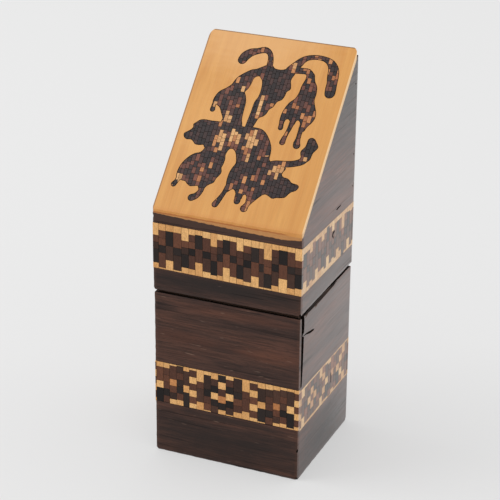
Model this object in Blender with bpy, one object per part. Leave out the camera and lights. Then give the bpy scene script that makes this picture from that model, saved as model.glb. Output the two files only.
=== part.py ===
"""A slope-top needle case in veneered wood, with mosaic bands and an inlaid spray.

The base stands at the origin: x runs to the right, y to the back and z up, in metres.
The lid is a separate box that lifts straight up off a thin liner.
"""
import math

import bmesh
import bpy
from mathutils import Vector
from mathutils.geometry import delaunay_2d_cdt, intersect_point_tri_2d

for old in list(bpy.data.objects):
    bpy.data.objects.remove(old, do_unlink=True)

# Overall sizes, over the lid's veneers, with the lid's heights taken from its own lower edge
CASE_WIDTH = 0.0310
CASE_DEPTH = 0.0273
RIM_HEIGHT = 0.0353
SEAM = 0.0003
LID_FRONT_HEIGHT = 0.0170
LID_BACK_HEIGHT = 0.0453

# Thicknesses of the layers, from the outside in
LID_VENEER = 0.0008
BASE_VENEER = 0.0007
SLOPE_PANEL = 0.0007
BOARD = 0.0016
LINER = 0.0008
PARTITION = 0.0008
FLOOR_BOARD = 0.0020
UNDERSIDE_PAPER = 0.00015

# Gaps between glued pieces, and between pieces that slide
GLUE_LINE = 0.0001
FIT_CLEARANCE = 0.0003
GROOVE_CLEARANCE = 0.0001

# The mosaic bands, each lifted above the lower edge of its own half
BASE_BAND_LIFT = 0.0110
BASE_BAND_HEIGHT = 0.0086
LID_BAND_LIFT = 0.0046
LID_BAND_HEIGHT = 0.0094

# The liner that the lid fits over, and its partitions
LINER_STAND = 0.0093
PARTITION_COUNT = 2
PARTITION_DROP = 0.0020
GROOVE_DEPTH = 0.0004

# Worn arrises, the panel's rounded corners and the inlay
WEAR = 0.0003
WEAR_SEGMENTS = 2
PANEL_CORNER = 0.0009
PANEL_CORNER_SEGMENTS = 4
INLAY_DEPTH = 0.0004
CURVE_STEPS = 3
ROUND_END_STEPS = 7

# How close two computed points are when they count as one, and how far a cutter overruns
SAME_POINT = 0.000001
OVERRUN = 0.0005

# Colours of the woods and the paper, as linear red, green and blue
ROSEWOOD = (0.052, 0.029, 0.025)
MOSAIC = (0.110, 0.058, 0.035)
HONEY_WOOD = (0.730, 0.395, 0.150)
CARCASE_WOOD = (0.480, 0.300, 0.150)
LINER_WOOD = (0.600, 0.440, 0.240)
PAPER = (0.120, 0.170, 0.120)
SATIN_SHARE = 0.35
DULL_SHARE = 0.75

# The inlaid spray. A loop is a smooth closed outline. A stroke is a smooth line with a width.
# Places are shares of the panel's width and length, and half widths are shares of its width.
LOOP_SHARES = {
    "right_blossom": [
        (0.726, 0.822), (0.765, 0.830), (0.785, 0.791), (0.808, 0.763), (0.818, 0.728),
        (0.818, 0.690), (0.832, 0.662), (0.850, 0.631), (0.856, 0.601), (0.845, 0.573),
        (0.823, 0.547), (0.808, 0.519), (0.777, 0.524), (0.776, 0.557), (0.761, 0.574),
        (0.745, 0.571), (0.734, 0.545), (0.706, 0.542), (0.705, 0.563), (0.690, 0.573),
        (0.674, 0.568), (0.665, 0.545), (0.642, 0.545), (0.637, 0.585), (0.645, 0.621),
        (0.665, 0.659), (0.694, 0.685), (0.708, 0.720), (0.711, 0.756), (0.723, 0.794),
    ],
    "left_blossom": [
        (0.448, 0.837), (0.426, 0.831), (0.387, 0.812), (0.355, 0.804), (0.323, 0.786),
        (0.287, 0.761), (0.268, 0.736), (0.255, 0.710), (0.223, 0.685), (0.190, 0.664),
        (0.173, 0.636), (0.169, 0.606), (0.200, 0.593), (0.226, 0.580), (0.248, 0.552),
        (0.268, 0.524), (0.268, 0.486), (0.406, 0.476), (0.405, 0.507), (0.392, 0.537),
        (0.387, 0.583), (0.384, 0.626), (0.371, 0.659), (0.356, 0.681), (0.371, 0.702),
        (0.381, 0.733), (0.385, 0.758), (0.400, 0.772), (0.423, 0.775), (0.445, 0.758),
        (0.465, 0.771), (0.471, 0.807),
    ],
    "centre_leaf": [
        (0.452, 0.837), (0.481, 0.842), (0.503, 0.828), (0.542, 0.825), (0.574, 0.832),
        (0.600, 0.847), (0.629, 0.837), (0.642, 0.814), (0.632, 0.791), (0.631, 0.771),
        (0.640, 0.751), (0.644, 0.730), (0.626, 0.715), (0.621, 0.690), (0.610, 0.669),
        (0.587, 0.657), (0.576, 0.641), (0.568, 0.624), (0.548, 0.608), (0.539, 0.585),
        (0.523, 0.568), (0.500, 0.557), (0.490, 0.535), (0.481, 0.509), (0.471, 0.481),
        (0.432, 0.481), (0.432, 0.522), (0.437, 0.578), (0.440, 0.634), (0.453, 0.662),
        (0.458, 0.695), (0.453, 0.736), (0.442, 0.763), (0.435, 0.797),
    ],
    "left_leaf": [
        (0.306, 0.491), (0.258, 0.504), (0.206, 0.503), (0.158, 0.504), (0.126, 0.499),
        (0.106, 0.484), (0.090, 0.471), (0.095, 0.458), (0.087, 0.443), (0.066, 0.428),
        (0.048, 0.415), (0.056, 0.397), (0.077, 0.388), (0.103, 0.390), (0.123, 0.382),
        (0.142, 0.369), (0.171, 0.368), (0.197, 0.372), (0.213, 0.357), (0.258, 0.339),
        (0.316, 0.387),
    ],
    "lower_left_blossom": [
        (0.223, 0.379), (0.208, 0.346), (0.190, 0.329), (0.161, 0.320), (0.132, 0.301),
        (0.106, 0.273), (0.090, 0.242), (0.085, 0.209), (0.092, 0.181), (0.126, 0.172),
        (0.155, 0.170), (0.174, 0.158), (0.197, 0.149), (0.223, 0.153), (0.248, 0.156),
        (0.263, 0.135), (0.289, 0.128), (0.295, 0.153), (0.316, 0.173), (0.340, 0.186),
        (0.348, 0.209), (0.363, 0.229), (0.369, 0.247), (0.360, 0.268), (0.365, 0.290),
        (0.366, 0.316), (0.360, 0.339), (0.368, 0.364), (0.384, 0.390), (0.323, 0.438),
        (0.258, 0.425),
    ],
    "heart": [
        (0.242, 0.463), (0.277, 0.507), (0.371, 0.502), (0.416, 0.498), (0.458, 0.502),
        (0.506, 0.502), (0.542, 0.498), (0.571, 0.485), (0.600, 0.461), (0.623, 0.435),
        (0.639, 0.407), (0.645, 0.377), (0.648, 0.351), (0.665, 0.339), (0.700, 0.339),
        (0.745, 0.336), (0.769, 0.318), (0.760, 0.298), (0.756, 0.283), (0.771, 0.271),
        (0.797, 0.268), (0.816, 0.261), (0.832, 0.250), (0.858, 0.246), (0.877, 0.243),
        (0.885, 0.232), (0.874, 0.215), (0.848, 0.203), (0.834, 0.190), (0.819, 0.172),
        (0.794, 0.166), (0.768, 0.163), (0.742, 0.156), (0.716, 0.165), (0.694, 0.171),
        (0.674, 0.165), (0.652, 0.145), (0.632, 0.125), (0.610, 0.107), (0.584, 0.117),
        (0.581, 0.140), (0.566, 0.153), (0.552, 0.145), (0.547, 0.125), (0.508, 0.125),
        (0.505, 0.148), (0.487, 0.168), (0.468, 0.167), (0.448, 0.151), (0.424, 0.151),
        (0.426, 0.181), (0.421, 0.214), (0.423, 0.252), (0.432, 0.278), (0.444, 0.301),
        (0.439, 0.326), (0.423, 0.357), (0.400, 0.374), (0.377, 0.373), (0.355, 0.359),
        (0.290, 0.374),
    ],
    "lower_bud": [
        (0.839, 0.397), (0.834, 0.420), (0.852, 0.443), (0.856, 0.466), (0.858, 0.484),
        (0.874, 0.494), (0.895, 0.490), (0.913, 0.474), (0.931, 0.453), (0.923, 0.435),
        (0.910, 0.418), (0.905, 0.395), (0.897, 0.374), (0.865, 0.369),
    ],
}
STROKE_SHARES = {
    "left_stem_and_bud": [
        (0.461, 0.794, 0.0194), (0.463, 0.840, 0.0194), (0.456, 0.880, 0.0161),
        (0.435, 0.910, 0.0155), (0.400, 0.920, 0.0200), (0.355, 0.908, 0.0200),
        (0.316, 0.896, 0.0274), (0.287, 0.875, 0.0313), (0.274, 0.852, 0.0297),
    ],
    "right_stem_and_bud": [
        (0.603, 0.832, 0.0258), (0.644, 0.868, 0.0277), (0.669, 0.894, 0.0213),
        (0.703, 0.911, 0.0161), (0.758, 0.919, 0.0145), (0.813, 0.914, 0.0161),
        (0.855, 0.896, 0.0242), (0.881, 0.865, 0.0323), (0.890, 0.830, 0.0355),
        (0.897, 0.794, 0.0323), (0.900, 0.763, 0.0339), (0.903, 0.739, 0.0329),
    ],
    "right_neck": [
        (0.639, 0.835, 0.0226), (0.684, 0.836, 0.0194), (0.723, 0.835, 0.0200),
        (0.752, 0.814, 0.0226),
    ],
    "right_stamen_left": [
        (0.655, 0.583, 0.0161), (0.655, 0.550, 0.0135), (0.658, 0.522, 0.0148),
    ],
    "right_stamen_middle": [
        (0.721, 0.578, 0.0161), (0.718, 0.537, 0.0135), (0.708, 0.496, 0.0110),
        (0.700, 0.468, 0.0145), (0.697, 0.449, 0.0177),
    ],
    "right_stamen_right": [
        (0.794, 0.552, 0.0161), (0.790, 0.514, 0.0135), (0.790, 0.481, 0.0135),
        (0.790, 0.456, 0.0200), (0.794, 0.444, 0.0219),
    ],
    "left_stamen": [
        (0.182, 0.616, 0.0135), (0.181, 0.588, 0.0116), (0.182, 0.565, 0.0161),
    ],
    "lower_left_stamen": [
        (0.110, 0.194, 0.0194), (0.100, 0.166, 0.0135), (0.087, 0.145, 0.0168),
    ],
    "lower_middle_stamen": [
        (0.279, 0.166, 0.0161), (0.274, 0.130, 0.0155), (0.255, 0.104, 0.0194),
        (0.229, 0.091, 0.0219),
    ],
    "heart_stamen_left": [
        (0.439, 0.176, 0.0155), (0.426, 0.138, 0.0129), (0.410, 0.105, 0.0161),
        (0.394, 0.078, 0.0200),
    ],
    "heart_stub": [
        (0.527, 0.158, 0.0226), (0.527, 0.128, 0.0194), (0.527, 0.112, 0.0194),
    ],
    "heart_stamen_right": [
        (0.613, 0.133, 0.0210), (0.595, 0.102, 0.0161), (0.585, 0.082, 0.0232),
    ],
    "right_stem": [
        (0.655, 0.318, 0.0258), (0.697, 0.336, 0.0177), (0.755, 0.339, 0.0200),
        (0.813, 0.349, 0.0194), (0.858, 0.367, 0.0226), (0.874, 0.395, 0.0323),
    ],
}

# Sizes that follow from the ones above
HALF_WIDTH = CASE_WIDTH / 2
HALF_DEPTH = CASE_DEPTH / 2
LID_BOTTOM = RIM_HEIGHT + SEAM
SLOPE_FRONT_HEIGHT = LID_BOTTOM + LID_FRONT_HEIGHT
SLOPE_RISE = LID_BACK_HEIGHT - LID_FRONT_HEIGHT
SLOPE_ANGLE = math.atan2(SLOPE_RISE, CASE_DEPTH)
SLOPE_LENGTH = math.hypot(SLOPE_RISE, CASE_DEPTH)

# How far each layer's faces lie inside the lid's outer faces
LID_OVERHANG = LID_VENEER - BASE_VENEER
BOARD_OUTER = LID_VENEER + GLUE_LINE
BOARD_INNER = BOARD_OUTER + BOARD
LINER_OUTER = BOARD_INNER + FIT_CLEARANCE
LINER_INNER = LINER_OUTER + LINER

# How far each layer of the slope lies under its surface, measured square to it
SLOPE_BOARD_TOP = SLOPE_PANEL + GLUE_LINE
SLOPE_BOARD_BOTTOM = SLOPE_BOARD_TOP + BOARD

# Heights inside the base
BASE_BOARD_BOTTOM = UNDERSIDE_PAPER + GLUE_LINE
FLOOR_TOP = BASE_BOARD_BOTTOM + FLOOR_BOARD
LINER_BOTTOM = FLOOR_TOP + GLUE_LINE
LINER_TOP = RIM_HEIGHT + LINER_STAND
PARTITION_TOP = LINER_TOP - PARTITION_DROP
BASE_BAND_TOP = BASE_BAND_LIFT + BASE_BAND_HEIGHT
LID_BAND_BOTTOM = LID_BOTTOM + LID_BAND_LIFT
LID_BAND_TOP = LID_BAND_BOTTOM + LID_BAND_HEIGHT


def flat(height):
    """A top edge at one height all along the depth."""
    return lambda y: height


def under_slope(depth):
    """A top edge that follows the slope, this far under its surface."""
    drop = depth / math.cos(SLOPE_ANGLE)
    return lambda y: SLOPE_FRONT_HEIGHT + (y + HALF_DEPTH) * math.tan(SLOPE_ANGLE) - drop


def wood(name, colour, roughness):
    """A plain material in a piece's colour."""
    material = bpy.data.materials.new(name)
    material.use_nodes = True
    shader = material.node_tree.nodes["Principled BSDF"]
    shader.inputs["Base Color"].default_value = (*colour, 1)
    shader.inputs["Roughness"].default_value = roughness
    shader.inputs["Metallic"].default_value = 0
    return material


def finish_piece(bm, name, colour, roughness, carrier=None):
    """Turn a bmesh into a named piece with its own material, carried by an empty if it moves."""
    mesh = bpy.data.meshes.new(name)
    bm.to_mesh(mesh)
    bm.free()
    piece = bpy.data.objects.new(name, mesh)
    bpy.context.scene.collection.objects.link(piece)
    mesh.materials.append(wood(name + "_finish", colour, roughness))
    if carrier:
        piece.parent = carrier
        piece.matrix_parent_inverse = carrier.matrix_world.inverted()
    return piece


def prism(first_loop, second_loop):
    """A closed solid between two loops with as many points each."""
    bm = bmesh.new()
    ends = [[bm.verts.new(point) for point in loop] for loop in (first_loop, second_loop)]
    for end in ends:
        bm.faces.new(end)
    count = len(first_loop)
    for index in range(count):
        following = (index + 1) % count
        bm.faces.new((ends[0][index], ends[0][following], ends[1][following], ends[1][index]))
    bmesh.ops.recalc_face_normals(bm, faces=bm.faces)
    return bm


def across(profile, x_low, x_high):
    """A solid with one profile in y and z, run from side to side."""
    return prism([(x_low, y, z) for y, z in profile], [(x_high, y, z) for y, z in profile])


def upright(plan, z_low, z_high):
    """A solid with one plan in x and y, run upwards."""
    return prism([(x, y, z_low) for x, y in plan], [(x, y, z_high) for x, y in plan])


def near(value, target):
    return abs(value - target) < SAME_POINT


def round_edges(bm, edges, width, segments):
    bmesh.ops.bevel(
        bm, geom=edges, offset=width, segments=segments, profile=0.5, affect="EDGES", clamp_overlap=True
    )


def wear_wall(bm, outer, worn_heights):
    """Round a wall's upright corner arrises, and its outer edges at the worn heights."""
    face = HALF_DEPTH - outer
    side = HALF_WIDTH - outer
    worn = []
    for edge in bm.edges:
        ends = [vert.co for vert in edge.verts]
        on_face = all(near(abs(end.y), face) for end in ends)
        on_side = all(near(abs(end.x), side) for end in ends)
        at_height = any(all(near(end.z, height) for end in ends) for height in worn_heights)
        if (on_face and on_side) or (at_height and (on_face or on_side)):
            worn.append(edge)
    round_edges(bm, worn, WEAR, WEAR_SEGMENTS)


def walls(names, outer, inner, low, top, finish, worn_heights=None, carrier=None):
    """Four walls of one layer: front and back run right across, and the sides fit between them."""
    face = HALF_DEPTH - outer
    back = HALF_DEPTH - inner
    run = back - GLUE_LINE
    wide = HALF_WIDTH - outer
    thin = HALF_WIDTH - inner
    spans = {
        "front": (-face, -back, -wide, wide),
        "back": (back, face, -wide, wide),
        "left": (-run, run, -wide, -thin),
        "right": (-run, run, thin, wide),
    }
    for side, (y_low, y_high, x_low, x_high) in spans.items():
        profile = [(y_low, low), (y_high, low), (y_high, top(y_high)), (y_low, top(y_low))]
        bm = across(profile, x_low, x_high)
        if worn_heights is not None:
            wear_wall(bm, outer, worn_heights)
        finish_piece(bm, names.format(side), *finish, carrier)


# The lid's empty carries every piece that lifts
lid = bpy.data.objects.new("lid_lift", None)
lid.location = (0, 0, LID_BOTTOM)
bpy.context.scene.collection.objects.link(lid)
bpy.context.view_layer.update()

CARCASE_FINISH = (CARCASE_WOOD, DULL_SHARE)
ROSEWOOD_FINISH = (ROSEWOOD, SATIN_SHARE)
MOSAIC_FINISH = (MOSAIC, SATIN_SHARE)
LINER_FINISH = (LINER_WOOD, DULL_SHARE)

# The base: four boards round a floor, papered underneath
walls("base_{}_board", BOARD_OUTER, BOARD_INNER, BASE_BOARD_BOTTOM, flat(RIM_HEIGHT), CARCASE_FINISH)


def plate(name, inset, z_low, z_high, finish):
    """A flat board centred on the case, this far inside the lid's outer faces."""
    x_reach = HALF_WIDTH - inset
    y_reach = HALF_DEPTH - inset
    plan = [(-x_reach, -y_reach), (x_reach, -y_reach), (x_reach, y_reach), (-x_reach, y_reach)]
    return finish_piece(upright(plan, z_low, z_high), name, *finish)


plate("floor_board", BOARD_INNER + GLUE_LINE, BASE_BOARD_BOTTOM, FLOOR_TOP, CARCASE_FINISH)
plate("underside_paper", BOARD_OUTER, 0, UNDERSIDE_PAPER, (PAPER, DULL_SHARE))

# The base's skin: rosewood, a mosaic band, and rosewood up to the rim
base_skin = (LID_OVERHANG, LID_VENEER)
lower_top = flat(BASE_BAND_LIFT - GLUE_LINE)
upper_bottom = BASE_BAND_TOP + GLUE_LINE
walls("base_{}_lower_veneer", *base_skin, 0, lower_top, ROSEWOOD_FINISH, [0])
walls("base_{}_band", *base_skin, BASE_BAND_LIFT, flat(BASE_BAND_TOP), MOSAIC_FINISH, [])
walls("base_{}_upper_veneer", *base_skin, upper_bottom, flat(RIM_HEIGHT), ROSEWOOD_FINISH, [RIM_HEIGHT])

# The partitions stand in upright grooves in the liner's sides
liner_half_width = HALF_WIDTH - LINER_INNER
liner_half_depth = HALF_DEPTH - LINER_INNER
slot_depth = (2 * liner_half_depth - PARTITION_COUNT * PARTITION) / (PARTITION_COUNT + 1)
first_place = slot_depth + PARTITION / 2 - liner_half_depth
partition_places = [first_place + index * (slot_depth + PARTITION) for index in range(PARTITION_COUNT)]


def liner_side(name, direction):
    """A side of the liner, with its grooves, on the left for -1 and on the right for 1."""
    outer = HALF_WIDTH - LINER_OUTER
    inner = liner_half_width
    run = liner_half_depth - GLUE_LINE
    groove = PARTITION / 2 + GROOVE_CLEARANCE
    plan = [(outer, run), (outer, -run), (inner, -run)]
    for place in partition_places:
        plan += [
            (inner, place - groove),
            (inner + GROOVE_DEPTH, place - groove),
            (inner + GROOVE_DEPTH, place + groove),
            (inner, place + groove),
        ]
    plan.append((inner, run))
    bm = upright([(direction * x, y) for x, y in plan], LINER_BOTTOM, LINER_TOP)
    finish_piece(bm, name, *LINER_FINISH)


def liner_end(name, direction):
    """The liner's front for -1, or its back for 1, with its top eased to lead the lid on."""
    face = HALF_DEPTH - LINER_OUTER
    reach = HALF_WIDTH - LINER_OUTER
    profile = [
        (liner_half_depth, LINER_BOTTOM),
        (face, LINER_BOTTOM),
        (face, LINER_TOP - LINER / 2),
        (face - LINER / 2, LINER_TOP),
        (liner_half_depth, LINER_TOP),
    ]
    bm = across([(direction * y, z) for y, z in profile], -reach, reach)
    finish_piece(bm, name, *LINER_FINISH)


liner_end("liner_front", -1)
liner_end("liner_back", 1)
liner_side("liner_left", -1)
liner_side("liner_right", 1)

partition_reach = liner_half_width + GROOVE_DEPTH - GROOVE_CLEARANCE
for number, place in enumerate(partition_places, start=1):
    near_face = place - PARTITION / 2
    far_face = place + PARTITION / 2
    plan = [
        (-partition_reach, near_face),
        (partition_reach, near_face),
        (partition_reach, far_face),
        (-partition_reach, far_face),
    ]
    finish_piece(upright(plan, LINER_BOTTOM, PARTITION_TOP), f"partition_{number}", *LINER_FINISH)

# The lid: four boards under a slope board, then the same three strips of skin
lid_skin = (0, LID_VENEER)
board_top = under_slope(SLOPE_BOARD_BOTTOM + GLUE_LINE)
lower_top = flat(LID_BAND_BOTTOM - GLUE_LINE)
upper_bottom = LID_BAND_TOP + GLUE_LINE
upper_top = under_slope(SLOPE_BOARD_TOP)
walls("lid_{}_board", BOARD_OUTER, BOARD_INNER, LID_BOTTOM, board_top, CARCASE_FINISH, carrier=lid)
walls("lid_{}_lower_veneer", *lid_skin, LID_BOTTOM, lower_top, ROSEWOOD_FINISH, [LID_BOTTOM], lid)
walls("lid_{}_band", *lid_skin, LID_BAND_BOTTOM, flat(LID_BAND_TOP), MOSAIC_FINISH, [], lid)
walls("lid_{}_upper_veneer", *lid_skin, upper_bottom, upper_top, ROSEWOOD_FINISH, [], lid)


def slope_slab(top_depth, bottom_depth, y_reach):
    """A profile that lies along the slope between two depths, cut upright at both ends."""
    top = under_slope(top_depth)
    bottom = under_slope(bottom_depth)
    lower_side = [(y, bottom(y)) for y in (-y_reach, y_reach)]
    upper_side = [(y, top(y)) for y in (y_reach, -y_reach)]
    return lower_side + upper_side


board_reach = HALF_WIDTH - BOARD_OUTER
board_profile = slope_slab(SLOPE_BOARD_TOP, SLOPE_BOARD_BOTTOM, HALF_DEPTH - BOARD_OUTER)
finish_piece(across(board_profile, -board_reach, board_reach), "slope_board", *CARCASE_FINISH, lid)


def smooth_point(before, start, end, after, share):
    """A point on the smooth curve between start and end, at a share of the way."""
    return 0.5 * (
        2 * start
        + (end - before) * share
        + (2 * before - 5 * start + 4 * end - after) * share**2
        + (3 * start - before - 3 * end + after) * share**3
    )


def on_panel(x_share, y_share):
    """A place on the panel, measured from the middle of its lower edge."""
    return Vector((x_share * CASE_WIDTH - HALF_WIDTH, y_share * SLOPE_LENGTH))


def turned_left(direction):
    return Vector((-direction.y, direction.x))


def anticlockwise(outline):
    """The same closed outline, with its points in anticlockwise order."""
    area = sum(start.cross(end) for start, end in zip(outline, outline[1:] + outline[:1]))
    return outline if area > 0 else outline[::-1]


def loop_outline(shares, grow):
    """A smooth closed outline through its points, moved outwards by grow."""
    points = [on_panel(*place) for place in shares]
    count = len(points)
    curve = []
    for index in range(count):
        corners = [points[(index + step) % count] for step in (-1, 0, 1, 2)]
        curve += [smooth_point(*corners, step / CURVE_STEPS) for step in range(CURVE_STEPS)]
    curve = anticlockwise(curve)
    moved = []
    for index, point in enumerate(curve):
        along = (curve[(index + 1) % len(curve)] - curve[index - 1]).normalized()
        moved.append(point - turned_left(along) * grow)
    return moved


def stroke_outline(shares, grow):
    """The outline of a smooth line with a changing width and round ends."""
    line = [Vector((*on_panel(x, y), half_width * CASE_WIDTH)) for x, y, half_width in shares]
    line = [2 * line[0] - line[1], *line, 2 * line[-1] - line[-2]]
    centres = []
    for corners in zip(line, line[1:], line[2:], line[3:]):
        centres += [smooth_point(*corners, step / CURVE_STEPS) for step in range(CURVE_STEPS)]
    centres.append(line[-2])
    left = []
    right = []
    for index, centre in enumerate(centres):
        ahead = centres[min(index + 1, len(centres) - 1)] - centres[max(index - 1, 0)]
        side = turned_left(ahead.xy.normalized()) * (centre.z + grow)
        left.append(centre.xy + side)
        right.append(centre.xy - side)
    return anticlockwise(left + round_end(left[-1], right[-1]) + right[::-1] + round_end(right[0], left[0]))


def round_end(start, end):
    """The points of a half circle from one point round to another, clockwise."""
    middle = (start + end) / 2
    spoke = start - middle
    forward = -turned_left(spoke)
    turns = [math.pi * step / ROUND_END_STEPS for step in range(1, ROUND_END_STEPS)]
    return [middle + spoke * math.cos(turn) + forward * math.sin(turn) for turn in turns]


def merged(outlines):
    """One flat sheet of triangles that covers every outline, with no point left inside it."""
    points = []
    faces = []
    for outline in outlines:
        faces.append(list(range(len(points), len(points) + len(outline))))
        points += outline
    points, _, triangles, _, _, sources = delaunay_2d_cdt(points, [], faces, 1, SAME_POINT)
    covered = [triangle for triangle, source in zip(triangles, sources) if source]
    uses = {}
    for triangle in covered:
        for start, end in zip(triangle, triangle[1:] + triangle[:1]):
            uses.setdefault(frozenset((start, end)), []).append((start, end))
    rim = [pairs[0] for pairs in uses.values() if len(pairs) == 1]
    kept = sorted({index for pair in rim for index in pair})
    order = {old_index: new_index for new_index, old_index in enumerate(kept)}
    rim = [(order[start], order[end]) for start, end in rim]
    rim_points = [points[index] for index in kept]
    sheet_points, _, sheet, _, _, _ = delaunay_2d_cdt(rim_points, rim, [], 1, SAME_POINT)
    corners = [[points[index] for index in triangle] for triangle in covered]
    inside = []
    for triangle in sheet:
        centre = sum((sheet_points[index] for index in triangle), Vector((0, 0))) / len(triangle)
        if any(intersect_point_tri_2d(centre, *corner) for corner in corners):
            inside.append(triangle)
    return sheet_points, inside


def spray_solid(grow, low, high):
    """The whole spray as one solid between two levels of the panel, moved outwards by grow."""
    outlines = [loop_outline(shares, grow) for shares in LOOP_SHARES.values()]
    outlines += [stroke_outline(shares, grow) for shares in STROKE_SHARES.values()]
    points, triangles = merged(outlines)
    bm = bmesh.new()
    verts = [bm.verts.new((*point, low)) for point in points]
    for triangle in triangles:
        bm.faces.new([verts[index] for index in triangle])
    raised = bmesh.ops.extrude_face_region(bm, geom=bm.faces[:])
    lifted = [item for item in raised["geom"] if isinstance(item, bmesh.types.BMVert)]
    bmesh.ops.translate(bm, verts=lifted, vec=(0, 0, high - low))
    loose = [vert for vert in bm.verts if not vert.link_faces]
    bmesh.ops.delete(bm, geom=loose, context="VERTS")
    bmesh.ops.recalc_face_normals(bm, faces=bm.faces)
    return bm


def lay_on_slope(piece):
    """Place a piece that is modelled flat on the slope, from the middle of its lower edge."""
    piece.location = (0, -HALF_DEPTH, SLOPE_FRONT_HEIGHT)
    piece.rotation_euler = (SLOPE_ANGLE, 0, 0)


# The slope's panel, with rounded corners and a pocket for the spray
panel_mesh = across(slope_slab(0, SLOPE_PANEL, HALF_DEPTH), -HALF_WIDTH, HALF_WIDTH)
panel_corners = []
for edge in panel_mesh.edges:
    start, end = [vert.co for vert in edge.verts]
    if near((end - start).xy.length, 0):
        panel_corners.append(edge)
round_edges(panel_mesh, panel_corners, PANEL_CORNER, PANEL_CORNER_SEGMENTS)
panel = finish_piece(panel_mesh, "slope_panel", HONEY_WOOD, SATIN_SHARE, lid)

pocket_mesh = spray_solid(GLUE_LINE, -INLAY_DEPTH, OVERRUN)
pocket = finish_piece(pocket_mesh, "spray_pocket_cutter", MOSAIC, DULL_SHARE, lid)
lay_on_slope(pocket)
pocket.hide_render = True
pocket.display_type = "WIRE"
cut = panel.modifiers.new("spray_pocket", "BOOLEAN")
cut.operation = "DIFFERENCE"
cut.solver = "EXACT"
cut.object = pocket

spray = finish_piece(spray_solid(0, GLUE_LINE - INLAY_DEPTH, 0), "slope_spray", MOSAIC, SATIN_SHARE, lid)
lay_on_slope(spray)

print("slots", PARTITION_COUNT + 1, "each", round(slot_depth, 5), "m deep")
print("slope", round(math.degrees(SLOPE_ANGLE), 1), "degrees,", round(SLOPE_LENGTH, 4), "m long")
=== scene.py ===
# %% [markdown]
# # A needle case in rosewood and mosaic
#
# The object is a small box with a sloping top, about 81 mm tall. Its lid pulls straight off. The
# skin is rosewood veneer with a band of wooden mosaic round the base and another round the lid, and
# the slope is pale wood with a flower spray let into it.
#
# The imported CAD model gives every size. This script keeps its places, swaps the plain solids that
# show for worked ones, and gives each piece its finish.

# %% Load the frame
import math
import random

import bpy
import numpy
from mathutils import Matrix, Vector
from mathutils.bvhtree import BVHTree


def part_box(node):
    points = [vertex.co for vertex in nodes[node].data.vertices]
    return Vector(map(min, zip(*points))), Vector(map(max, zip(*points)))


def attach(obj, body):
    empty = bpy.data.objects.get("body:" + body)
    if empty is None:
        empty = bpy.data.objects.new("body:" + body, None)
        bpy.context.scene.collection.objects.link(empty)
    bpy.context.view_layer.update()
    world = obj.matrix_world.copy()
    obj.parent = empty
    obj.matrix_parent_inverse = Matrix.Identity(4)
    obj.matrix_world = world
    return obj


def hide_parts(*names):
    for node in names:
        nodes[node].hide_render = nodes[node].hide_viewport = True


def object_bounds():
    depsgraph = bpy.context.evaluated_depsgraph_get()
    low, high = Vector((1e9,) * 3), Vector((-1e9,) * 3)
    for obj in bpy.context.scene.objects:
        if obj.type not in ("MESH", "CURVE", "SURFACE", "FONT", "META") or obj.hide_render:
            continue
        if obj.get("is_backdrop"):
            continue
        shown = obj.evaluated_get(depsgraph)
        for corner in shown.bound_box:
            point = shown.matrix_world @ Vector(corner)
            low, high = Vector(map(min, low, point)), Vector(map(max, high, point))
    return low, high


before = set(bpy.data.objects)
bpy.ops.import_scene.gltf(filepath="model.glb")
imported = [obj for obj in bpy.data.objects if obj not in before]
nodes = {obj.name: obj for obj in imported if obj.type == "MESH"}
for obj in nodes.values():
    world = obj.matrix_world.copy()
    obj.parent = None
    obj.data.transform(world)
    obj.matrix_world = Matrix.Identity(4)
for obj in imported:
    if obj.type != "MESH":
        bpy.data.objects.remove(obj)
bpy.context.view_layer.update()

MM = 0.001
print("CAD nodes:", len(nodes))

# %% [markdown]
# ## Where the camera stands
#
# The photo was taken from the right of the front and from above. The corners of the box, which are
# square and whose edges are parallel, fix the direction and the distance. The camera looks along
# its own minus Z axis, so the view is described by the direction that points back to the camera.

# %% The camera
AZIMUTH = math.radians(23.30)
ELEVATION = math.radians(23.74)
ROLL = math.radians(0.50)
DISTANCE = 364.7 * MM
LENS = 132.3
AIM = Vector((0, 1.85, 37.2)) * MM
AIM_RIGHT = -1.575 * MM
AIM_UP = 3.09 * MM

back = Vector(
    (
        math.sin(AZIMUTH) * math.cos(ELEVATION),
        -math.cos(AZIMUTH) * math.cos(ELEVATION),
        math.sin(ELEVATION),
    )
)
level_right = Vector((math.cos(AZIMUTH), math.sin(AZIMUTH), 0))
level_up = back.cross(level_right)
right = level_right * math.cos(ROLL) + level_up * math.sin(ROLL)
up = level_up * math.cos(ROLL) - level_right * math.sin(ROLL)

camera_data = bpy.data.cameras.new("camera")
camera_data.lens = LENS
camera_data.sensor_width = 36
camera_data.clip_start = 10 * MM
camera = bpy.data.objects.new("camera", camera_data)
bpy.context.scene.collection.objects.link(camera)
turn = Matrix((right, up, back)).transposed().to_4x4()
place = AIM + right * AIM_RIGHT + up * AIM_UP + back * DISTANCE
camera.matrix_world = Matrix.Translation(place) @ turn
bpy.context.scene.camera = camera
print("camera at", [round(value / MM) for value in place], "mm")

# %% [markdown]
# ## A few hand tools
#
# Blender's operators act on whatever is selected. These short helpers pick one piece, or some of its
# edges, before an operator runs, much as a hand would.


# %% Helpers for picking
SLACK = 0.02 * MM


def pick(piece):
    """Select one piece alone."""
    bpy.ops.object.select_all(action="DESELECT")
    piece.select_set(True)
    bpy.context.view_layer.objects.active = piece


def open_all(piece):
    """Open a piece in edit mode with everything selected."""
    pick(piece)
    bpy.ops.object.mode_set(mode="EDIT")
    bpy.ops.mesh.select_all(action="SELECT")


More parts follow.
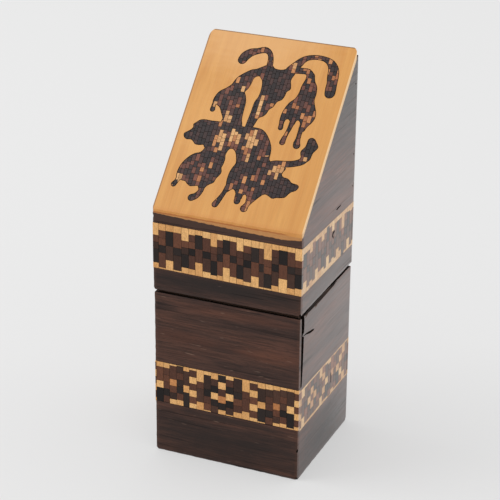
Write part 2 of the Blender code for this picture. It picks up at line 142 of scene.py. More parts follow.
def open_chosen(piece, keep):
    """Open a piece in edit mode with only the edges selected that pass a test."""
    pick(piece)
    bpy.ops.object.mode_set(mode="EDIT")
    bpy.ops.mesh.select_mode(type="EDGE")
    bpy.ops.mesh.select_all(action="DESELECT")
    close(piece)
    for edge in piece.data.edges:
        edge.select = keep(edge)
    bpy.ops.object.mode_set(mode="EDIT")


def open_edges(piece, test):
    """The same with a test of an edge's two ends."""
    ends = lambda edge: (piece.data.vertices[index].co for index in edge.vertices)
    open_chosen(piece, lambda edge: test(*ends(edge)))


def close(piece):
    bpy.ops.object.mode_set(mode="OBJECT")
    return piece


def near(value, target, slack=SLACK):
    return abs(value - target) < slack


# %% [markdown]
# The work itself is a maker's: cut a block, saw it off at a slant, ease its arrises, break a chip
# out of it, or cut it with another shape. A cutter is used up by its cut, and leaves its own
# material on the faces that it cuts, so a fresh break can be darker than the polish round it.


# %% Helpers for cutting
def settle(name):
    """Name the newest piece, and put its place, turn and size into its mesh."""
    piece = bpy.context.object
    piece.name = piece.data.name = name
    bpy.ops.object.transform_apply(location=True, rotation=True, scale=True)
    return piece


def block(name, low, high):
    """A block between two corners."""
    bpy.ops.object.select_all(action="DESELECT")
    low, high = Vector(low), Vector(high)
    bpy.ops.mesh.primitive_cube_add(size=1, location=(low + high) / 2, scale=high - low)
    return settle(name)


def apply(piece, kind, **settings):
    """Add a modifier with its settings and apply it."""
    pick(piece)
    modifier = piece.modifiers.new(kind.lower(), kind)
    for name, value in settings.items():
        setattr(modifier, name, value)
    bpy.ops.object.modifier_apply(modifier=modifier.name)


def carve(piece, cutter, operation="DIFFERENCE"):
    """Cut a piece with another one, which is used up."""
    apply(piece, "BOOLEAN", object=cutter, operation=operation, solver="EXACT", material_mode="TRANSFER")
    bpy.data.objects.remove(cutter)


def saw(piece, point, normal):
    """Saw off what lies beyond a plane, on the side that its normal points to."""
    open_all(piece)
    bpy.ops.mesh.bisect(plane_co=point, plane_no=normal, clear_outer=True, use_fill=True)
    close(piece)


def score(piece, axis, step):
    """Cut a piece's faces across at even steps along an axis, without parting it."""
    reach = [point.co[axis] for point in piece.data.vertices]
    low, high = min(reach), max(reach)
    count = int((high - low) / step)
    place, normal = Vector(), Vector()
    normal[axis] = 1
    open_all(piece)
    for number in range(1, count + 1):
        place[axis] = low + number * (high - low) / (count + 1)
        bpy.ops.mesh.bisect(plane_co=place, plane_no=normal)
        bpy.ops.mesh.select_all(action="SELECT")
    close(piece)


def ease(piece, test, width, segments=2):
    """Round the edges whose two ends pass a test."""
    open_edges(piece, test)
    bpy.ops.mesh.bevel(offset=width, segments=segments, affect="EDGES")
    close(piece)


# %% [markdown]
# Some pieces start as a copy of their CAD node instead. The last helpers shade a finished piece and
# join several into one.


# %% Helpers for copies and finished pieces
def copy_of(node, name):
    """A copy of a CAD piece, with its loose triangles merged."""
    piece = nodes[node].copy()
    piece.data = nodes[node].data.copy()
    bpy.context.scene.collection.objects.link(piece)
    piece.name = piece.data.name = name
    piece.data.materials.clear()
    open_all(piece)
    bpy.ops.mesh.remove_doubles(threshold=0.001 * MM)
    return close(piece)


def smooth(piece, is_flat):
    """Shade a piece smooth but for its sharp edges, and keep the faces flat that pass a test."""
    pick(piece)
    bpy.ops.object.shade_smooth_by_angle(angle=math.radians(32))
    for face in piece.data.polygons:
        if is_flat(face):
            face.use_smooth = False


def join(pieces, name):
    """Join pieces into one."""
    bpy.ops.object.select_all(action="DESELECT")
    for piece in pieces:
        piece.select_set(True)
    bpy.context.view_layer.objects.active = pieces[0]
    bpy.ops.object.join()
    joined = bpy.context.object
    joined.name = joined.data.name = name
    return joined


# %% [markdown]
# ## Colours and shared effects
#
# All the woods here have the same build: long fibres that give streaks, and pores that show as
# short dashes. One node group makes that figure from coordinates in millimetres whose X runs along
# the grain. Each material turns its own Object coordinates so that their X follows its wood.


# %% Colours and nodes
def colour(tint):
    """A colour as seen on a screen, 0 to 255, as a shader wants it. Four numbers are kept as given."""
    if len(tint) == 4:
        return tint
    return tuple(((value / 255 + 0.055) / 1.055) ** 2.4 for value in tint) + (1,)


def greys(*stops):
    """Stops of grey for a ramp, from pairs of (place, value)."""
    return [(place, (value, value, value, 1)) for place, value in stops]


class Nodes:
    """A shader's nodes in the making. What feeds a node is a socket or a plain value."""

    def __init__(self, tree):
        self.tree = tree

    def link(self, output, socket):
        self.tree.links.new(output, socket)

    def add(self, kind, inputs, output=0, **settings):
        """Add a node with its settings, feed its inputs and return one of its outputs."""
        made = self.tree.nodes.new("ShaderNode" + kind)
        for name, value in settings.items():
            setattr(made, name, value)
        for name, value in inputs.items():
            if isinstance(value, bpy.types.NodeSocket):
                self.link(value, made.inputs[name])
            else:
                made.inputs[name].default_value = value
        return made.outputs[output]

    def math(self, operation, *values):
        return self.add("Math", dict(enumerate(values)), operation=operation)

    def times(self, value, *others):
        for other in others:
            value = self.math("MULTIPLY", value, other)
        return value

    def squeezed(self, vector, stretch):
        """Coordinates that are squeezed along X, so that a pattern on them comes out long."""
        return self.add("Mapping", {"Scale": (stretch, 1, 1), "Vector": vector})

    def noise_on(self, vector, scale, detail, bend=0.0):
        inputs = {"Vector": vector, "Scale": scale, "Detail": detail, "Distortion": bend}
        return self.add("TexNoise", inputs, "Fac")

    def fade(self, value, start, end):
        """A smooth step from 0 at the start to 1 at the end."""
        low, high, first, last = (start, end, 0, 1) if start < end else (end, start, 1, 0)
        inputs = {"Value": value, "From Min": low, "From Max": high, "To Min": first, "To Max": last}
        return self.add("MapRange", inputs, "Result", interpolation_type="SMOOTHSTEP")


def new_group(name, vectors, numbers, outputs):
    """A node group with its vector inputs, its plain numbers with defaults, and its outputs."""
    group = bpy.data.node_groups.new(name, "ShaderNodeTree")
    for label in vectors:
        group.interface.new_socket(label, in_out="INPUT", socket_type="NodeSocketVector")
    for label, value in numbers.items():
        socket = group.interface.new_socket(label, in_out="INPUT", socket_type="NodeSocketFloat")
        socket.default_value = value
    for label in outputs:
        group.interface.new_socket(label, in_out="OUTPUT", socket_type="NodeSocketFloat")
    given, result = group.nodes.new("NodeGroupInput"), group.nodes.new("NodeGroupOutput")
    return Nodes(group), given.outputs, result.inputs


# %% [markdown]
# The grain group has three outputs: the wide figure, the fine streaks and the pores. Their sizes are
# inputs, because a thin veneer and a coarse board differ in little else.


# %% The wood grain group
def make_grain_group():
    numbers = {"Figure size": 3.0, "Streak size": 0.35, "Pore size": 0.14, "Pore share": 0.3}
    group, given, result = new_group("wood_grain", ["Vector"], numbers, ("Figure", "Streaks", "Pores"))
    figure_scale, streak_scale, pore_scale = (
        group.math("DIVIDE", 1.0, given[name]) for name in list(numbers)[:3]
    )
    along = given["Vector"]
    figure = group.noise_on(group.squeezed(along, 0.10), figure_scale, 5, 0.9)
    streaks = group.noise_on(group.squeezed(along, 0.035), streak_scale, 3, 0.2)
    cells = {"Vector": group.squeezed(along, 0.08), "Scale": pore_scale}
    dash = {"Value": group.add("TexVoronoi", cells, "Distance"), "From Max": given["Pore share"]}
    dash.update({"From Min": 0.05, "To Min": 1, "To Max": 0})
    pores = group.add("MapRange", dash, "Result")
    for name, value in (("Figure", figure), ("Streaks", streaks), ("Pores", pores)):
        group.link(value, result[name])
    return group.tree


wood_grain = make_grain_group()
print("grain outputs:", [item.name for item in wood_grain.interface.items_tree if item.in_out == "OUTPUT"])

# %% [markdown]
# Old wood is never even. The second group is a soft spot with a ragged edge, for a warm or a dark
# zone in the veneer, a stain or a rubbed place. It takes where the spot is and how far it reaches.


# %% The soft spot group
def make_spot_group():
    group, given, result = new_group("soft_spot", ["Vector", "Centre", "Reach"], {}, ["Mask"])
    steps = given["Vector"]
    for operation, name in (("SUBTRACT", "Centre"), ("DIVIDE", "Reach")):
        steps = group.add("VectorMath", {0: steps, 1: given[name]}, operation=operation)
    far = group.add("VectorMath", {0: steps}, "Value", operation="LENGTH")
    ragged = group.noise_on(group.squeezed(given["Vector"], 0.3), 0.9, 3)
    ragged = group.times(group.math("SUBTRACT", ragged, 0.5), 0.5)
    group.link(group.fade(group.math("ADD", far, ragged), 1.0, 0.3), result["Mask"])
    return group.tree


soft_spot = make_spot_group()
print("groups:", wood_grain.name, soft_spot.name)

# %% [markdown]
# Each material starts with the same lines: a Principled shader, Object coordinates counted in
# millimetres, the same turned to follow the grain, and the grain group. The old polish that covers
# the skin is the shader's coat.

# %% Start a wood material
ALONG_X = (0, 0, 0)
ALONG_Y = (0, 0, math.radians(-90))
ALONG_Z = (0, math.radians(90), 0)
# The numbers of a Mix node's sockets for colours
MIX_SHARE, MIX_FIRST, MIX_SECOND, MIX_RESULT = 0, 6, 7, 2


class Wood(Nodes):
    """A wood material in the making."""

    def __init__(self, name, grain, roughness, coat=0.0, specular=0.3, coat_roughness=0.28):
        self.material = bpy.data.materials.new(name)
        self.material.use_nodes = True
        super().__init__(self.material.node_tree)
        self.shader = self.tree.nodes["Principled BSDF"].inputs
        self.shader["Roughness"].default_value = roughness
        self.shader["Coat Weight"].default_value = coat
        self.shader["Coat Roughness"].default_value = coat_roughness
        self.shader["Specular IOR Level"].default_value = specular
        self.millimetres = self.turned(self.add("TexCoord", {}, "Object"), ALONG_X, 1 / MM)
        self.along = self.turned(self.millimetres, grain)
        self.grain = self.tree.nodes.new("ShaderNodeGroup")
        self.grain.node_tree = wood_grain
        self.figure, self.streaks, self.pores = self.grain.outputs
        self.link(self.along, self.grain.inputs["Vector"])

    def turned(self, vector, rotation, scale=1):
        return self.add("Mapping", {"Vector": vector, "Rotation": rotation, "Scale": (scale, scale, scale)})

    def size_grain(self, *sizes):
        """Set the sizes of figure, streaks and pores in millimetres, and the share of pores."""
        for socket, value in zip(list(self.grain.inputs)[1:], sizes):
            socket.default_value = value

    def noise(self, scale, detail, stretch=None):
        """A noise texture, drawn out along the grain if a stretch is given."""
        vector = self.squeezed(self.along, stretch) if stretch else self.millimetres
        return self.noise_on(vector, scale, detail)

    def axis(self, name):
        """One coordinate in millimetres."""
        return self.add("SeparateXYZ", {0: self.millimetres}, name)

    def attribute(self, name):
        return self.add("Attribute", {}, "Fac", attribute_name=name)

    def ramp(self, source, *stops):
        """A colour ramp from a 0 to 1 value, with its stops as (place, colour)."""
        made = self.tree.nodes.new("ShaderNodeValToRGB")
        ends = made.color_ramp.elements
        while len(ends) < len(stops):
            ends.new(0.5)
        for end, (place, tint) in zip(ends, stops):
            end.position = place
            end.color = colour(tint)
        self.link(source, made.inputs["Fac"])
        return made.outputs["Color"]

    def mix(self, share, first, second, blend="MIX"):
        """Mix a colour with a second one, which is a socket or a fixed colour, by a share."""
        if not isinstance(second, bpy.types.NodeSocket):
            second = colour(second)
        inputs = {MIX_SHARE: share, MIX_FIRST: first, MIX_SECOND: second}
        return self.add("Mix", inputs, MIX_RESULT, data_type="RGBA", blend_type=blend)

    def shade(self, base, source, low, high, dark, light):
        """Multiply a colour by a grey, from dark at the low value to light at the high one."""
        return self.mix(1.0, base, self.ramp(source, *greys((low, dark), (high, light))), "MULTIPLY")

    def spot(self, centre, reach, share):
        """The mask of a soft spot, in millimetres, times a share."""
        inputs = {"Vector": self.millimetres, "Centre": centre, "Reach": reach}
        return self.times(self.add("Group", inputs, node_tree=soft_spot), share)

    def stain(self, base, spots):
        """Mix in soft spots, each with its centre, reach, share and colour."""
        for *spot, tint in spots:
            base = self.mix(self.spot(*spot), base, tint)
        return base

    def finish(self, base, height, depth):
        """Link the base colour, and a bump from a 0 to 1 height, this deep in metres."""
        self.link(base, self.shader["Base Color"])
        self.link(self.add("Bump", {"Distance": depth, "Height": height}), self.shader["Normal"])
        return self.material


# %% [markdown]
# ## Rosewood
#
# The veneer is nearly black with warm red streaks that run level round the box. It is made from two
# layers of the grain: the wide figure picks the colour, and the fine streaks and pores darken it.
# Some pores hold pale dust and show as light flecks, and thin dark lines follow the grain. The front
# and back are one material and the sides another, because the grain turns the corner, and because
# handling has dulled the front while the sides keep a hazy polish, which grows towards the back. The
# sides' colour is also painted brighter and redder than the front's, a painted sheen for the light
# that they catch.


# %% The rosewood materials
COAT_HEIGHT = 80.0
SIDE_COAT_IOR = 1.74
SHINE_FRONT = 0.995
SHINE_GROWTH = 0.22 / 27.3
FOOT_SHINE = [((0, 15, 5.5), (40, 16, 13), 0.42), ((0, 3, 11), (40, 10, 3.5), 0.16)]


def side_polish(wood, polish):
    """The sides' polish grows towards the back, lies thicker at the foot and is dull in streaks."""
    polish = wood.times(polish, wood.math("MULTIPLY_ADD", wood.axis("Y"), SHINE_GROWTH, SHINE_FRONT))
    for spot in FOOT_SHINE:
        polish = wood.math("ADD", polish, wood.spot(*spot))
    return wood.times(polish, wood.math("MULTIPLY_ADD", wood.noise(1.7, 4, 0.07), 0.72, 0.64))


def make_rosewood(name, grain, coats, specular, coat_roughness, painted_light_lift, zones):
    wood = Wood(name, grain, 0.45, 0, specular, coat_roughness)
    wood.size_grain(3.4, 0.19, 0.17, 0.24)
    polish = wood.ramp(wood.math("DIVIDE", wood.axis("Z"), COAT_HEIGHT), *greys(*coats))
    if grain == ALONG_Y:
        polish = side_polish(wood, polish)
    lines = wood.fade(wood.noise(2.4, 2, 0.018), 0.62, 0.70)
    polish = wood.times(polish, wood.math("MULTIPLY_ADD", lines, -0.5, 1.0))
    wood.link(polish, wood.shader["Coat Weight"])
    stops = ((0.32, (52, 33, 27)), (0.46, (64, 41, 33)), (0.56, (72, 46, 36)), (0.72, (84, 52, 40)))
    base = wood.mix(1.0, wood.ramp(wood.figure, *stops), (*painted_light_lift, 1), "MULTIPLY")
    base = wood.stain(wood.shade(base, wood.streaks, 0.34, 0.64, 0.56, 1.24), zones)
    base = wood.mix(wood.times(lines, 0.6), base, (24, 17, 15))
    base = wood.mix(wood.pores, base, (24, 16, 14))
    dust = wood.fade(wood.noise(3.0, 1, 0.11), 0.72, 0.80)
    base = wood.mix(wood.times(dust, 0.24), base, (170, 140, 120))
    base = wood.mix(wood.times(wood.attribute("worn"), 0.16), base, (112, 76, 56))
    return wood.finish(base, wood.streaks, 0.02 * MM)


DARK = (34, 24, 21)
WARM = (116, 66, 44)
LEVEL_ZONES = [
    ((9, 0, 26.0), (12, 40, 2.2), 0.32, WARM),
    ((-9, 0, 26.3), (13, 40, 2.4), 0.24, WARM),
    ((2, 0, 33.2), (20, 40, 1.7), 0.20, WARM),
    ((2, 0, 22.2), (24, 40, 2.1), 0.12, DARK),
    ((0, 0, 10.0), (24, 40, 1.2), 0.75, DARK),
    ((0, 0, 4.6), (26, 40, 6.4), 0.82, DARK),
    ((0, 0, 38.6), (30, 40, 3.0), 0.95, DARK),
    ((-9, 0, 51.6), (15, 40, 1.5), 0.42, WARM),
]
SIDE_ZONES = [
    ((0, 4, 52.0), (40, 12, 3.5), 0.3, WARM),
    ((0, 0, 4.0), (40, 30, 9.5), 0.85, (34, 32, 33)),
    ((0, 0, 37.9), (40, 30, 3.4), 0.7, (36, 34, 34)),
    ((0, 10, 74), (40, 30, 16), 0.8, (34, 33, 34)),
]
LEVEL_COATS = [(0.1, 0.26), (0.9, 0.28)]
SIDE_COATS = [
    (0, 0.52), (0.06, 0.48), (0.13, 0.58), (0.26, 0.88),
    (0.44, 0.88), (0.50, 0.79), (0.66, 0.76), (0.84, 0.60),
]
rosewood_level_x = make_rosewood(
    "rosewood_front_and_back", ALONG_X, LEVEL_COATS, 0.12, 0.30, (1, 1, 1), LEVEL_ZONES
)
# The sides' lift paints their colour brighter and redder than the front's: painted sheen, not another wood.
rosewood_level_y = make_rosewood(
    "rosewood_sides", ALONG_Y, SIDE_COATS, 0.5, 0.34, (1.8, 1.5, 1.3), SIDE_ZONES
)
rosewood_level_y.node_tree.nodes["Principled BSDF"].inputs["Coat IOR"].default_value = SIDE_COAT_IOR
print("rosewood zones:", len(LEVEL_ZONES), "on the front,", len(SIDE_ZONES), "on the sides")

# %% [markdown]
# Breaks, cracks and the joints between pieces show what lies under the polish: old glue and grime,
# nearly black. One dull material serves for all of them, and it also paints the shade deep in the
# open joint and in the seam. A hollow that rubbing has worn shows bare wood instead, with dirt in
# its streaks.

# %% Grime and bare wood
# Nearly black: old glue and grime, and painted shade where it lines the open joint and the seam.
grime_and_shade_wood = Wood("grime_and_old_glue", ALONG_X, 0.75, specular=0.1)
grime_and_shade_field = grime_and_shade_wood.noise(3.0, 3)
grime_and_shade_tint = grime_and_shade_wood.ramp(grime_and_shade_field, (0.35, (10, 8, 7)), (0.65, (34, 24, 19)))
grime_and_shade = grime_and_shade_wood.finish(grime_and_shade_tint, grime_and_shade_field, 0.03 * MM)

bare = Wood("bare_rosewood", ALONG_Y, 0.7, specular=0.15)
bare_tint = bare.ramp(bare.streaks, (0.42, (24, 17, 14)), (0.62, (104, 82, 70)))
bare_rosewood = bare.finish(bare_tint, bare.streaks, 0.04 * MM)
print("dull finishes:", grime_and_shade.name, bare_rosewood.name)

# %% [markdown]
# ## The mosaic's woods
#
# The bands are glued up from small square sticks and then sliced across, so every square shows end
# grain: no streaks, only fine specks. Five woods are enough. Each square has its own tone, stored on
# its faces as an attribute, because no two sticks of one wood are alike. On the sides they have the
# polish of the veneer there, and front, sides and slope each have tones of their own. The sides'
# tones are painted paler and brighter than the front's, a painted sheen for the light they catch.


# %% One material for each wood of the mosaic
def make_stick_wood(name, pale, deep, coat, specular, coat_roughness):
    wood = Wood(name, ALONG_Z, 0.45, coat, specular, coat_roughness)
    base = wood.ramp(wood.attribute("tone"), (0.0, deep), (1.0, pale))
    specks = wood.noise(5.0, 3)
    base = wood.shade(base, specks, 0.35, 0.62, 0.80, 1.06)
    base = wood.shade(base, wood.noise(4.0, 2, 0.3), 0.36, 0.60, 0.86, 1.05)
    return wood.finish(base, specks, 0.012 * MM)


WOOD_WORDS = {"L": "pale", "O": "orange", "R": "red", "B": "brown", "K": "black"}
WOOD_ORDER = list(WOOD_WORDS)
ORANGE = ((204, 140, 86), (164, 100, 60))
# For each place, the palest and the deepest tone of each wood, in the order of WOOD_WORDS
TINTS = {
    "level": (
        ((238, 186, 122), (214, 156, 95)), ORANGE, ((105, 65, 46), (77, 48, 37)),
        ((80, 53, 41), (53, 36, 29)), ((46, 36, 32), (25, 20, 19)),
    ),
    # The sides' tones are painted paler and brighter than the same woods in front: painted sheen.
    "side": (
        ((238, 196, 140), (210, 156, 100)), ((228, 176, 120), (196, 138, 92)),
        ((144, 88, 58), (110, 66, 44)), ((116, 74, 50), (78, 52, 38)), ((80, 56, 43), (46, 35, 28)),
    ),
    "slope": (
        ((228, 176, 118), (198, 144, 92)), ORANGE, ((126, 74, 56), (86, 50, 42)),
        ((78, 48, 42), (52, 33, 31)), ((50, 34, 34), (28, 18, 19)),
    ),
}
# For each place, the polish, the shine of the wood under it and the polish's roughness
FINISHES = {"level": (0.18, 0.10, 0.30), "side": (0.98, 0.5, 0.34), "slope": (0.25, 0.2, 0.35)}
WOODS = {
    place: [
        make_stick_wood(f"mosaic_{word}_{place}", *tints, *finish)
        for word, tints in zip(WOOD_WORDS.values(), TINTS[place])
    ]
    for place, finish in FINISHES.items()
}
print("woods of the mosaic:", WOOD_ORDER, "each for", list(WOODS))

# %% [markdown]
# ## Setting out the bands
#
# A mosaic worker reads the pattern off a chart: one string of squares for each column, from the top
# to the bottom. The lid's chart has four columns and makes a zigzag. The base's chart is read to its
# end and back again, and makes crosses. Columns slip a little when they are glued, and the slice is
# then trimmed, so the squares along both edges come out uneven.

# %% The charts
LID_CHART = ["LLRBKKL", "LRBKBBL", "LKKBBLL", "LRRKBBL"]
HALF_BASE_CHART = ["LKLROKL", "LBKLKBL", "LBBKRBL", "LLRBBLL", "LRLRLRL", "LBBLKKL", "LBRBKRL", "LBBORBL"]
BASE_CHART = HALF_BASE_CHART + HALF_BASE_CHART[-2:0:-1]
STICK = 1.45 * MM
JOINTS = {"level": 0.06 * MM, "side": 0.02 * MM}
STICK_ARRIS = 0.03 * MM
print("lid chart repeats every", len(LID_CHART), "columns, base chart every", len(BASE_CHART))

# %% [markdown]
# The photo shows the front and right bands well enough to read each column: where it ends, and how
# much of its first and last square the trimming has left, in millimetres. The other four bands are
# set out by chance in the same manner.

# %% The columns that show: right edge, first square, last square
LID_FRONT_COLUMNS = [
    (1.28, 1.1, 1.1), (2.8, 1.4, 0.25), (4.4, 1.35, 0.5), (6.15, 1.35, 0.25), (7.68, 1.3, 1.15),
    (9.05, 1.2, 1.1), (10.6, 1.0, 1.3), (12.3, 1.3, 1.15), (13.65, 1.3, 0.75), (14.85, 1.2, 0.95),
    (16.3, 0.95, 1.4), (17.7, 1.0, 1.2), (19.1, 1.2, 1.05), (20.7, 1.35, 0.75), (22.3, 1.4, 0.7),
    (23.3, 1.35, 0.3), (24.9, 1.9, 0.3), (26.35, 1.1, 1.1), (28.1, 0.95, 1.35), (29.65, 1.0, 1.2),
    (31.0, 1.0, 1.4),
]
LID_RIGHT_COLUMNS = [
    (1.7, 1.4, 0.95), (3.15, 1.4, 0.8), (4.6, 0.9, 1.4), (6.0, 0.7, 0.9), (7.5, 1.0, 1.2),
    (9.1, 1.0, 1.5), (10.6, 0.85, 1.6), (11.8, 1.2, 0.9), (13.25, 0.3, 1.4), (14.6, 0.9, 1.0),
    (15.9, 0.8, 1.5), (17.1, 1.05, 1.0), (18.6, 1.05, 1.0), (19.85, 1.05, 1.5), (21.35, 2.2, 0.0),
    (22.9, 1.0, 0.5), (24.3, 1.2, 0.9), (25.5, 1.5, 0.5),
]
BASE_RIGHT_COLUMNS = [
    (0.8, 0.3, 0.4), (2.35, 0.6, 0.7), (4.0, 0.45, 0.5), (5.5, 0.35, 0.5), (7.05, 0.4, 0.55),
    (8.6, 0.35, 0.5), (10.3, 0.35, 0.55), (11.75, 0.7, 0.6), (13.3, 0.3, 0.6), (14.85, 0.6, 0.5),
    (16.4, 1.1, 0.1), (17.95, 0.1, 1.0), (19.35, 0.5, 0.3), (21.0, 0.3, 0.4), (22.5, 0.35, 0.4),
    (24.1, 0.75, 0.6), (25.5, 0.3, 0.3),
]
BASE_FRONT_COLUMNS = [
    (0.3, 0.3, 0.7), (1.85, 1.1, 0.0), (3.2, 1.1, 0.0), (4.75, 0.35, 1.0), (6.2, 0.12, 1.1),
    (7.5, 0.95, 0.0), (9.1, 0.45, 1.0), (10.65, 1.1, 0.2), (12.2, 0.8, 0.2), (13.75, 1.35, 0.0),
    (15.4, 0.2, 0.9), (17.05, 0.85, 0.2), (18.9, 0.2, 1.1), (20.5, 1.2, 0.2), (22.2, 0.5, 0.7),
    (23.85, 1.2, 0.2), (25.45, 1.1, 0.0), (26.9, 0.9, 0.6), (28.35, 0.6, 0.8), (29.9, 0.6, 0.2),
    (30.8, 0.8, 0.7),
]
LEAST_COLUMN = 0.4
shown = (LID_FRONT_COLUMNS, LID_RIGHT_COLUMNS, BASE_FRONT_COLUMNS, BASE_RIGHT_COLUMNS)
print("columns read from the photo:", [len(columns) for columns in shown])


def chance_columns(width, chance, tops, bottoms):
    """Columns set out by chance, from the ranges of their first and last squares."""
    columns = []
    edge = STICK / MM * chance.uniform(0.3, 0.6)
    while edge < width - LEAST_COLUMN:
        columns.append((edge, chance.uniform(*tops), chance.uniform(*bottoms)))
        edge += STICK / MM * chance.uniform(0.94, 1.12)
    columns.append((width, chance.uniform(*tops), chance.uniform(*bottoms)))
    return columns


# %% [markdown]
# One stick is modelled once: a small block whose front edges are eased, so each square catches the
# light by itself. Every square of a band is a copy, stretched to its place. The sticks that end the
# front and back bands stand at the box's corners, so two more are made whose outer edge is worn
# rounder.


# %% Model the sticks
CORNER_SHARE = 0.14


def make_stick(name, worn_end=0):
    """A unit stick whose front face lies at y = 0 and looks along minus Y."""
    stick = block(name, (-0.5, 0, -0.5), (0.5, 1, 0.5))
    at_front = lambda start, end: near(start.y, 0) and near(end.y, 0)
    if worn_end:
        at_corner = lambda start, end: near(start.x, worn_end / 2) and near(end.x, worn_end / 2)
        ease(stick, lambda *ends: at_front(*ends) and at_corner(*ends), CORNER_SHARE, 3)
    ease(stick, at_front, STICK_ARRIS / STICK, 1)
    stick.data.attributes.new("tone", "FLOAT", "FACE")
    return stick


sticks = {0: make_stick("stick"), -1: make_stick("left_stick", -1), 1: make_stick("right_stick", 1)}
print("stick faces:", [len(stick.data.polygons) for stick in sticks.values()])


def copy_stick(letter, place, tone, low, high, worn_end=0):
    """A copy of a stick in one wood, stretched between two corners."""
    low, high = Vector(low), Vector(high)
    square = sticks[worn_end].copy()
    square.data = sticks[worn_end].data.copy()
    bpy.context.scene.collection.objects.link(square)
    centre = Vector(((low.x + high.x) / 2, low.y, (low.z + high.z) / 2))
    square.data.transform(Matrix.Translation(centre) @ Matrix.Diagonal((*(high - low), 1)))
    for wood in WOODS[place]:
        square.data.materials.append(wood)
    count = len(square.data.polygons)
    square.data.polygons.foreach_set("material_index", [WOOD_ORDER.index(letter)] * count)
    square.data.attributes["tone"].data.foreach_set("value", [tone] * count)
    return square


def runs(column):
    """Split a column such as LLBK into [letter, first row, rows] for each run of one wood."""
    found = []
    for row, letter in enumerate(column):
        if found and found[-1][0] == letter:
            found[-1][2] += 1
        else:
            found.append([letter, row, 1])
    return found


# %% [markdown]
# A band is laid flat, facing the front. The first and last squares of a column have the heights that
# the trimming left them, and the squares between share the rest. Now and then a brown stick is
# swapped for a red one, as happens on the workshop's bench. The side bands and strips run on a hair
# past their solids, up to the front and back ones, as the veneerer's close joint does.


# %% Lay a band
TO_CORNER = 0.09 * MM
LEAST_SQUARE = 0.03 * MM
SWAP_SHARE = 0.3
UNEVEN = (0.004, 0.016)


def lay_band(name, columns, height, thickness, chart, first_column, place, chance):
    """A band that stands on z = 0 with its face at y = 0, from x = 0 to its width."""
    joint = JOINTS[place]
    squares = []
    left_edge = 0
    last_number = len(columns) - 1
    for number, (right_edge, first, last) in enumerate(columns):
        column = chart[(first_column + number) % len(chart)]
        row_height = (height - (first + last) * MM) / (len(column) - 2)
        levels = [height - first * MM - row * row_height for row in range(len(column) - 1)]
        levels = [height, *levels, 0]
        x_low, x_high = left_edge * MM, right_edge * MM - (joint if number < last_number else 0)
        if place == "side":
            x_low -= TO_CORNER if number == 0 else 0
            x_high += TO_CORNER if number == last_number else 0
        left_edge = right_edge
        worn_end = {0: -1, last_number: 1}.get(number, 0) if place == "level" else 0
        for letter, row, rows in runs(column):
            z_low, z_high = levels[row + rows] + (joint if row + rows < len(column) else 0), levels[row]
            if z_high - z_low < LEAST_SQUARE:
                continue
            wood = "R" if letter == "B" and chance.random() < SWAP_SHARE else letter
            low = (x_low, chance.uniform(*UNEVEN) * MM, z_low)
            high = (x_high, thickness, z_high)
            squares.append(copy_stick(wood, place, chance.random(), low, high, worn_end))
    return join(squares, name)


# %% [markdown]
# The strips and bands were cut and laid by hand, so their edges aren't quite level: the photo shows
# the front and the right. The table has a row for each level edge from the foot up. A row says how
# far the edge rises at the box's corners, in millimetres: front left, front right twice, back right,
# back left. The front right corner has one value for the front and one for the right, because the
# edges don't meet there. A point between two corners and two edges takes its share of each.

# %% How the edges wander
LIFTS = {
    "base": [
        (0, 0, 0, 0, 0), (0.1, 0.15, -0.34, -0.03, 0),
        (0.35, 0.3, -0.15, -0.32, 0.1), (-0.15, -0.22, -0.22, 0, 0),
    ],
    "lid": [
        (0, 0.1, 0.1, 0.4, 0.15), (0.15, -0.2, -0.25, -0.15, 0),
        (0.15, 0.05, 0, -0.3, 0.1), (0, 0, 0, 0, 0),
    ],
}
CORNERS = {"front": (0, 1), "right": (2, 3), "back": (3, 4), "left": (4, 0)}
lid_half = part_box("slope_panel")[1].xy
base_half = Vector((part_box("base_front_band")[1].x, -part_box("base_front_band")[0].y))
HALVES = {"base": base_half, "lid": lid_half}
SLOPE_FRONT = 52.6 * MM


def edge_heights(body):
    """The heights of the four level edges of a half's skin: foot, band, band, top."""
    band_low, band_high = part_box(f"{body}_front_band")
    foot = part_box(f"{body}_front_lower_veneer")[0].z
    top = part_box("base_front_upper_veneer")[1].z if body == "base" else SLOPE_FRONT
    return foot, band_low.z, band_high.z, top


def wander(piece, body, side):
    """Move a piece's points up or down with the edges beside them."""
    heights = edge_heights(body)
    half = HALVES[body]
    first, last = CORNERS[side]
    for vertex in piece.data.vertices:
        x_share = (vertex.co.x / half.x + 1) / 2
        y_share = (vertex.co.y / half.y + 1) / 2
        share = {"front": x_share, "right": y_share, "back": 1 - x_share, "left": 1 - y_share}[side]
        lifts = [row[first] + (row[last] - row[first]) * share for row in LIFTS[body]]
        vertex.co.z += numpy.interp(vertex.co.z, heights, lifts) * MM


print("edges of the lid's skin in mm:", [round(height / MM, 2) for height in edge_heights("lid")])

# %% [markdown]
# Each band is then carried to its side of the box. The front and back bands run to the corners, so
# their ends show on the sides and take the sides' finish. Behind every band lies a thin dark bed of
# glue that fills the joints.

# %% Lay all eight bands
SIDE_TURNS = {"front": 0, "right": 90, "back": 180, "left": 270}
CHARTS = {"lid": LID_CHART, "base": BASE_CHART}
EDGE_SQUARES = {"lid": ((0.9, 1.4), (0.3, 1.4)), "base": ((0.1, 1.3), (0.1, 1.1))}
BED_START = 0.06 * MM
SIDEWAYS = 0.6
FACE_END = 0.05 * MM
BED_END_GAP = 0.25 * MM


def carry_to_side(piece, side, low, high):
    """Move a band from x = 0, y = 0, z = 0 to its side of the box between two corners."""
    start = {
        "front": (low.x, low.y),
        "right": (high.x, low.y),
        "back": (high.x, high.y),
        "left": (low.x, high.y),
    }[side]
    turn = Matrix.Rotation(math.radians(SIDE_TURNS[side]), 4, "Z")
    piece.data.transform(Matrix.Translation((*start, low.z)) @ turn)


